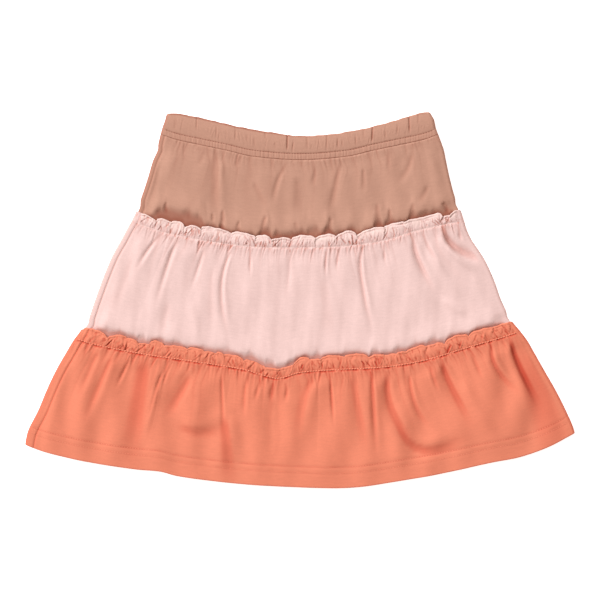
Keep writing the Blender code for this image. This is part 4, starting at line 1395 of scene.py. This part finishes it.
MIDDLE_PUFFS = (
    # in mm: x of a cusp between two puffs, its rise above the ruffle, height above the ruffle of
    # the next puff's lowest place; then the share of the hollow's full depth
    (-182, 5.0, 6.0, 0.6),
    (-174, 8.5, 7.0, 1.0),
    (-161, 9.0, 6.5, 1.0),
    (-149, 6.0, 5.0, 0.7),
    (-141, 10.5, 4.5, 0.6),
    (-134, 5.0, 5.0, 0.7),
    (-125, 9.0, 6.0, 0.9),
    (-110, 9.0, 3.5, 0.7),
    (-101, 4.0, 3.5, 0.4),
    (-87, 6.5, 5.5, 0.6),
    (-64, 7.5, 4.0, 0.7),
    (-43, 10.0, 5.5, 0.9),
    (-34, 5.0, 4.0, 0.6),
    (-26, 9.0, 2.5, 0.8),
    (-18, 3.0, 2.5, 0.2),
    (-5, 6.0, 4.0, 0.8),
    (6, 6.0, 4.5, 0.7),
    (15, 10.0, 4.0, 0.9),
    (30, 4.0, 4.0, 0.5),
    (41, 7.0, 5.5, 1.0),
    (54, 5.5, 2.5, 0.6),
    (68, 11.0, 3.5, 0.6),
    (78, 4.5, 4.0, 0.4),
    (88, 9.0, 5.0, 0.7),
    (104, 9.0, 6.5, 0.9),
    (120, 10.5, 5.5, 0.8),
    (129, 5.0, 4.5, 0.5),
    (136, 10.0, 4.0, 0.9),
    (146, 4.0, 4.0, 0.5),
    (158, 6.0, 5.5, 0.8),
    (174, 6.5, 4.0, 0.6),
    (182, 4.0, 3.0, 0.3),
)
bottom_seam = curve(BOTTOM_SEAM)

pink_jersey = jersey(
    "pink_jersey", PINK, PINK_SHADE, PINK_HIGHLIGHT, cloudiness=0.02, foot=11 * MM, gathering=0.8
)
MIDDLE_PLEATS = (
    # pitch, height and reach in mm: fine, medium and broad in front, fine and broad underneath
    (2.6, 0.60, 3.5),
    (7.0, 0.70, 8),
    (20, 0.60, 45),
    (3.4, 0.40, 7),
    (14, 0.35, 30),
)
middle_tier = Tier(
    top=middle_seam,
    bottom=bottom_seam,
    top_height=OUTER_TOP,
    seam_inset=5.5 * MM,
    pleated_length=0.30,
    pleats=MIDDLE_PLEATS,
    folds=MIDDLE_FOLDS,
    seed=36,
    swell_height=0.4 * MM,
    stroke_depth=0.80 * MM,
    contact_shade=0.80,
    rim_shade=0.75,
    seam_groove=0.20 * MM,
    stitch_shade=0.25,
    edge_highlight=0.45,
    stitch_highlight=0.4,
    thread_over=0.8 * MM,
    puffs=MIDDLE_PUFFS,
    puff=1.0 * MM,
    ruffles=MIDDLE_RUFFLES,
    heading=MIDDLE_HEADING,
    next_ruffles=BOTTOM_RUFFLES,
    next_heading=BOTTOM_HEADING,
)
middle_rows = middle_tier.rows(58)
middle_front = panel("middle_tier_front_panel", middle_tier, middle_rows,
                     middle_tier.front_stretches(600), 0.43)
dress(middle_front, "middle_tier_front", pink_jersey)
middle_back = panel("middle_tier_back_panel", middle_tier, middle_rows[::2] + middle_rows[-1:],
                    middle_tier.back_stretches(260), 0.43)
dress(middle_back, "middle_tier_back", pink_jersey)

# -------------------------------------------------------------------------------------------------
# Middle gathering stitch. One row of pale pink thread along the foot of the pink ruffle, on both
# sides of the skirt.
# -------------------------------------------------------------------------------------------------
PINK_THREAD = (0.860, 0.580, 0.520)
RUFFLE_STITCH = 2.2 * MM
middle_lines = seam_lines(middle_tier, middle_seam, (0.0,))
middle_stitches = sew(
    "middle_gathering_stitch", middle_lines, RUFFLE_STITCH, STITCH_SPACE, THREAD, proud=-0.05 * MM
)
pink_thread = thread_material("pink_thread", PINK_THREAD)
dress(middle_stitches, None, pink_thread)

# -------------------------------------------------------------------------------------------------
# Bottom tier. Coral jersey made as the middle tier is, fuller, with its own standing ruffle and a
# 20 mm hem turned up inside.
# -------------------------------------------------------------------------------------------------
# The jersey's own colour, then the painted shade colour mixed in where it lies in creases, grooves and
# shadows, then the painted highlight colour, which is also its sheen tint.
CORAL = (0.740, 0.219, 0.128)
CORAL_SHADE = (0.480, 0.045, 0.022)
CORAL_HIGHLIGHT = (0.840, 0.270, 0.160)
HEM_LINE = (
    # x, y
    (-0.2470, -0.1300),
    (-0.2295, -0.1363),
    (-0.1935, -0.1449),
    (-0.1476, -0.1521),
    (-0.1251, -0.1541),
    (-0.1107, -0.1580),
    (-0.0720, -0.1632),
    (-0.0360, -0.1664),
    (0.0270, -0.1689),
    (0.0540, -0.1678),
    (0.0900, -0.1624),
    (0.1260, -0.1561),
    (0.1728, -0.1458),
    (0.1980, -0.1409),
    (0.2232, -0.1318),
    (0.2472, -0.1193),
)
BOTTOM_FOLDS = (
    # in mm: x0, y0, x1, y1, x2, y2, width, height, lean
    (-181.4, -46, -188.0, -62, -201.6, -92, 2.8, -0.9, 0.3),
    (-168.0, -50, -179.4, -75, -196.6, -116, 3.4, -1.3, 0.3),
    (-153.0, -52, -158.0, -64, -166.0, -80, 1.6, -0.9, 0.2),
    (-139.5, -52, -144.0, -84, -156.0, -160, 8.6, -2.1, 0.4),
    (-128.0, -78, -134.0, -100, -141.0, -132, 4.0, 0.9, 0.2),
    (-124.0, -66, -130.4, -85, -137.0, -110, 1.6, -0.7, 0.2),
    (-117.6, -58, -120.0, -66, -123.0, -78, 1.4, -0.7, 0.1),
    (-98.0, -66, -109.2, -87, -122.0, -106, 5.0, -1.4, 0.4),
    (-94.5, -54, -95.0, -60, -95.0, -70, 1.4, -0.9, 0.1),
    (-70.6, -66, -69.6, -92, -68.6, -120, 1.4, -1.1, 0.2),
    (-69.0, -104, -66.0, -130, -63.0, -172, 6.4, -1.8, 0.45),
    (-110.0, -112, -88.0, -119, -64.0, -112, 5.0, -1.2, 0.3),
    (-47.1, -66, -49.5, -85, -50.4, -108, 1.8, -1.0, 0.3),
    (-36.0, -70, -38.0, -80, -41.0, -92, 1.6, -0.9, 0.1),
    (-24.0, -74, -26.0, -82, -25.0, -92, 1.8, -1.2, 0.0),
    (-14.0, -74, -12.0, -82, -14.0, -92, 1.8, -1.2, 0.0),
    (12.5, -68, 2.3, -92, -3.0, -132, 4.4, -1.1, 0.4),
    (26.2, -64, 28.2, -84, 30.2, -116, 1.3, -1.4, 0.1),
    (46.0, -66, 52.0, -98, 60.0, -142, 4.2, -1.2, 0.4),
    (63.8, -62, 65.4, -92, 68.5, -146, 2.4, -1.6, 0.2),
    (78.9, -62, 82.5, -100, 106.0, -130, 4.2, -2.0, 0.3),
    (86.0, -108, 112.0, -135, 158.0, -117, 5.0, -1.9, 0.3),
    (98.0, -66, 104.0, -96, 119.0, -116, 2.2, -1.2, 0.3),
    (116.0, -58, 119.5, -70, 125.0, -84, 1.6, -1.1, 0.2),
    (126.0, -54, 136.5, -80, 156.0, -116, 3.6, -2.4, 0.35),
    (144.0, -70, 159.0, -98, 174.0, -124, 6.0, 1.8, 0.0),
    (153.0, -48, 158.0, -58, 164.0, -72, 1.6, -0.9, 0.1),
    (171.0, -38, 176.5, -62, 200.0, -86, 2.4, -1.9, 0.3),
    (188.5, -34, 198.0, -62, 219.0, -102, 3.6, -2.8, -0.35),
    (203.0, -48, 214.0, -70, 228.0, -94, 3.4, 0.9, 0.0),
    (190.0, -36, 213.0, -82, 236.0, -160, 14.0, -1.7, 0.2),
    (150.0, -40, 158.0, -88, 186.0, -150, 26.0, 3.0, 0.0),
)
hem_line = curve(HEM_LINE)

coral_jersey = jersey(
    "coral_jersey", CORAL, CORAL_SHADE, CORAL_HIGHLIGHT, cloudiness=0.03, foot=11 * MM, gathering=0.6
)
BOTTOM_PLEATS = (
    # pitch, height and reach in mm: fine, medium and broad in front, fine and broad underneath
    (2.8, 0.70, 4.5),
    (7.5, 0.80, 12),
    (20, 0.90, 50),
    (3.6, 0.40, 8),
    (15, 0.35, 35),
)
bottom_tier = Tier(
    top=bottom_seam,
    bottom=hem_line,
    top_height=OUTER_TOP,
    seam_inset=8.0 * MM,
    pleated_length=0.39,
    pleats=BOTTOM_PLEATS,
    folds=BOTTOM_FOLDS,
    seed=46,
    swell_height=0.8 * MM,
    stroke_depth=0.90 * MM,
    fold_shade=0.30,
    curl=0.5,
    side_shades=(0.7, 0.4),
    seam_groove=0.60 * MM,
    stitch_shade=1.1,
    edge_highlight=0.25,
    stitch_highlight=0.7,
    thread_over=1.1 * MM,
    ruffles=BOTTOM_RUFFLES,
    heading=BOTTOM_HEADING,
)
bottom_rows = bottom_tier.rows(38)
bottom_front = panel("bottom_tier_front_panel", bottom_tier, bottom_rows,
                     bottom_tier.front_stretches(580), 0.56)
dress(bottom_front, "bottom_tier_front", coral_jersey)
bottom_back = panel("bottom_tier_back_panel", bottom_tier, bottom_rows,
                    bottom_tier.back_stretches(260), 0.56)
dress(bottom_back, "bottom_tier_back", coral_jersey)

# -------------------------------------------------------------------------------------------------
# Bottom gathering stitch. A row of coral thread that stands out pale along the foot of the ruffle.
# -------------------------------------------------------------------------------------------------
CORAL_THREAD = (0.950, 0.330, 0.200)
CORAL_STITCH_SPACE = 0.3 * MM
THICK_THREAD = 0.85 * MM
bottom_lines = seam_lines(bottom_tier, bottom_seam, (0.0,))
bottom_stitches = sew(
    "bottom_gathering_stitch", bottom_lines, RUFFLE_STITCH, CORAL_STITCH_SPACE, THICK_THREAD,
    proud=0.50 * MM
)
coral_thread = thread_material("coral_thread", CORAL_THREAD)
dress(bottom_stitches, None, coral_thread)

# -------------------------------------------------------------------------------------------------
# Hem coverstitch. Two rows, 5.6 mm apart, that hold the turned hem on both sides of the skirt.
# -------------------------------------------------------------------------------------------------
HEM_THREAD = (0.930, 0.330, 0.205)
hem_lines = seam_lines(bottom_tier, hem_line, HEM_STITCH_PLACES)
hem_stitches = sew(
    "hem_coverstitch", hem_lines, STITCH_LENGTH, STITCH_SPACE, THREAD, proud=0.12 * MM
)
dress(hem_stitches, None, thread_material("hem_thread", HEM_THREAD))

# -------------------------------------------------------------------------------------------------
# Studio. A plain white table that gives a little light, an even warm sky, and one broad soft light
# from beyond the waist on the left.
# -------------------------------------------------------------------------------------------------
bpy.ops.object.select_all(action="DESELECT")
bpy.ops.mesh.primitive_plane_add(size=8.0, location=(0.0, 0.0, -0.2 * MM))
table = bpy.context.object
table.name = "studio_table"
table_material, _, _, table_paint = new_material("studio_table_paint")
table_paint.inputs["Base Color"].default_value = (0.95, 0.95, 0.95, 1.0)
table_paint.inputs["Roughness"].default_value = 0.9
table_paint.inputs["Emission Color"].default_value = (1.0, 1.0, 1.0, 1.0)
table_paint.inputs["Emission Strength"].default_value = 0.75
table.data.materials.append(table_material)

sky = bpy.data.worlds.new("studio_sky")
sky.use_nodes = True
sky_light = sky.node_tree.nodes["Background"]
sky_light.inputs["Color"].default_value = (1.0, 0.86, 0.80, 1.0)
sky_light.inputs["Strength"].default_value = 0.42
bpy.context.scene.world = sky

light_data = bpy.data.lights.new("studio_softbox", "AREA")
light_data.shape = "RECTANGLE"
light_data.size = 6.4
light_data.size_y = 4.0
light_data.color = (0.93, 1.0, 1.05)
light_data.energy = 1220.0
softbox = bpy.data.objects.new("studio_softbox", light_data)
softbox.location = (-5.2, 4.8, 5.8)
softbox.rotation_euler = Vector(softbox.location).to_track_quat("Z", "Y").to_euler()
bpy.context.scene.collection.objects.link(softbox)

camera_data = bpy.data.cameras.new("overhead_camera")
camera_data.lens = 100.0
camera_data.sensor_width = 36.0
camera = bpy.data.objects.new("overhead_camera", camera_data)
camera.location = (0.0, 0.0, 1.5)
bpy.context.scene.collection.objects.link(camera)
bpy.context.scene.camera = camera
bpy.context.scene.view_settings.view_transform = "Standard"
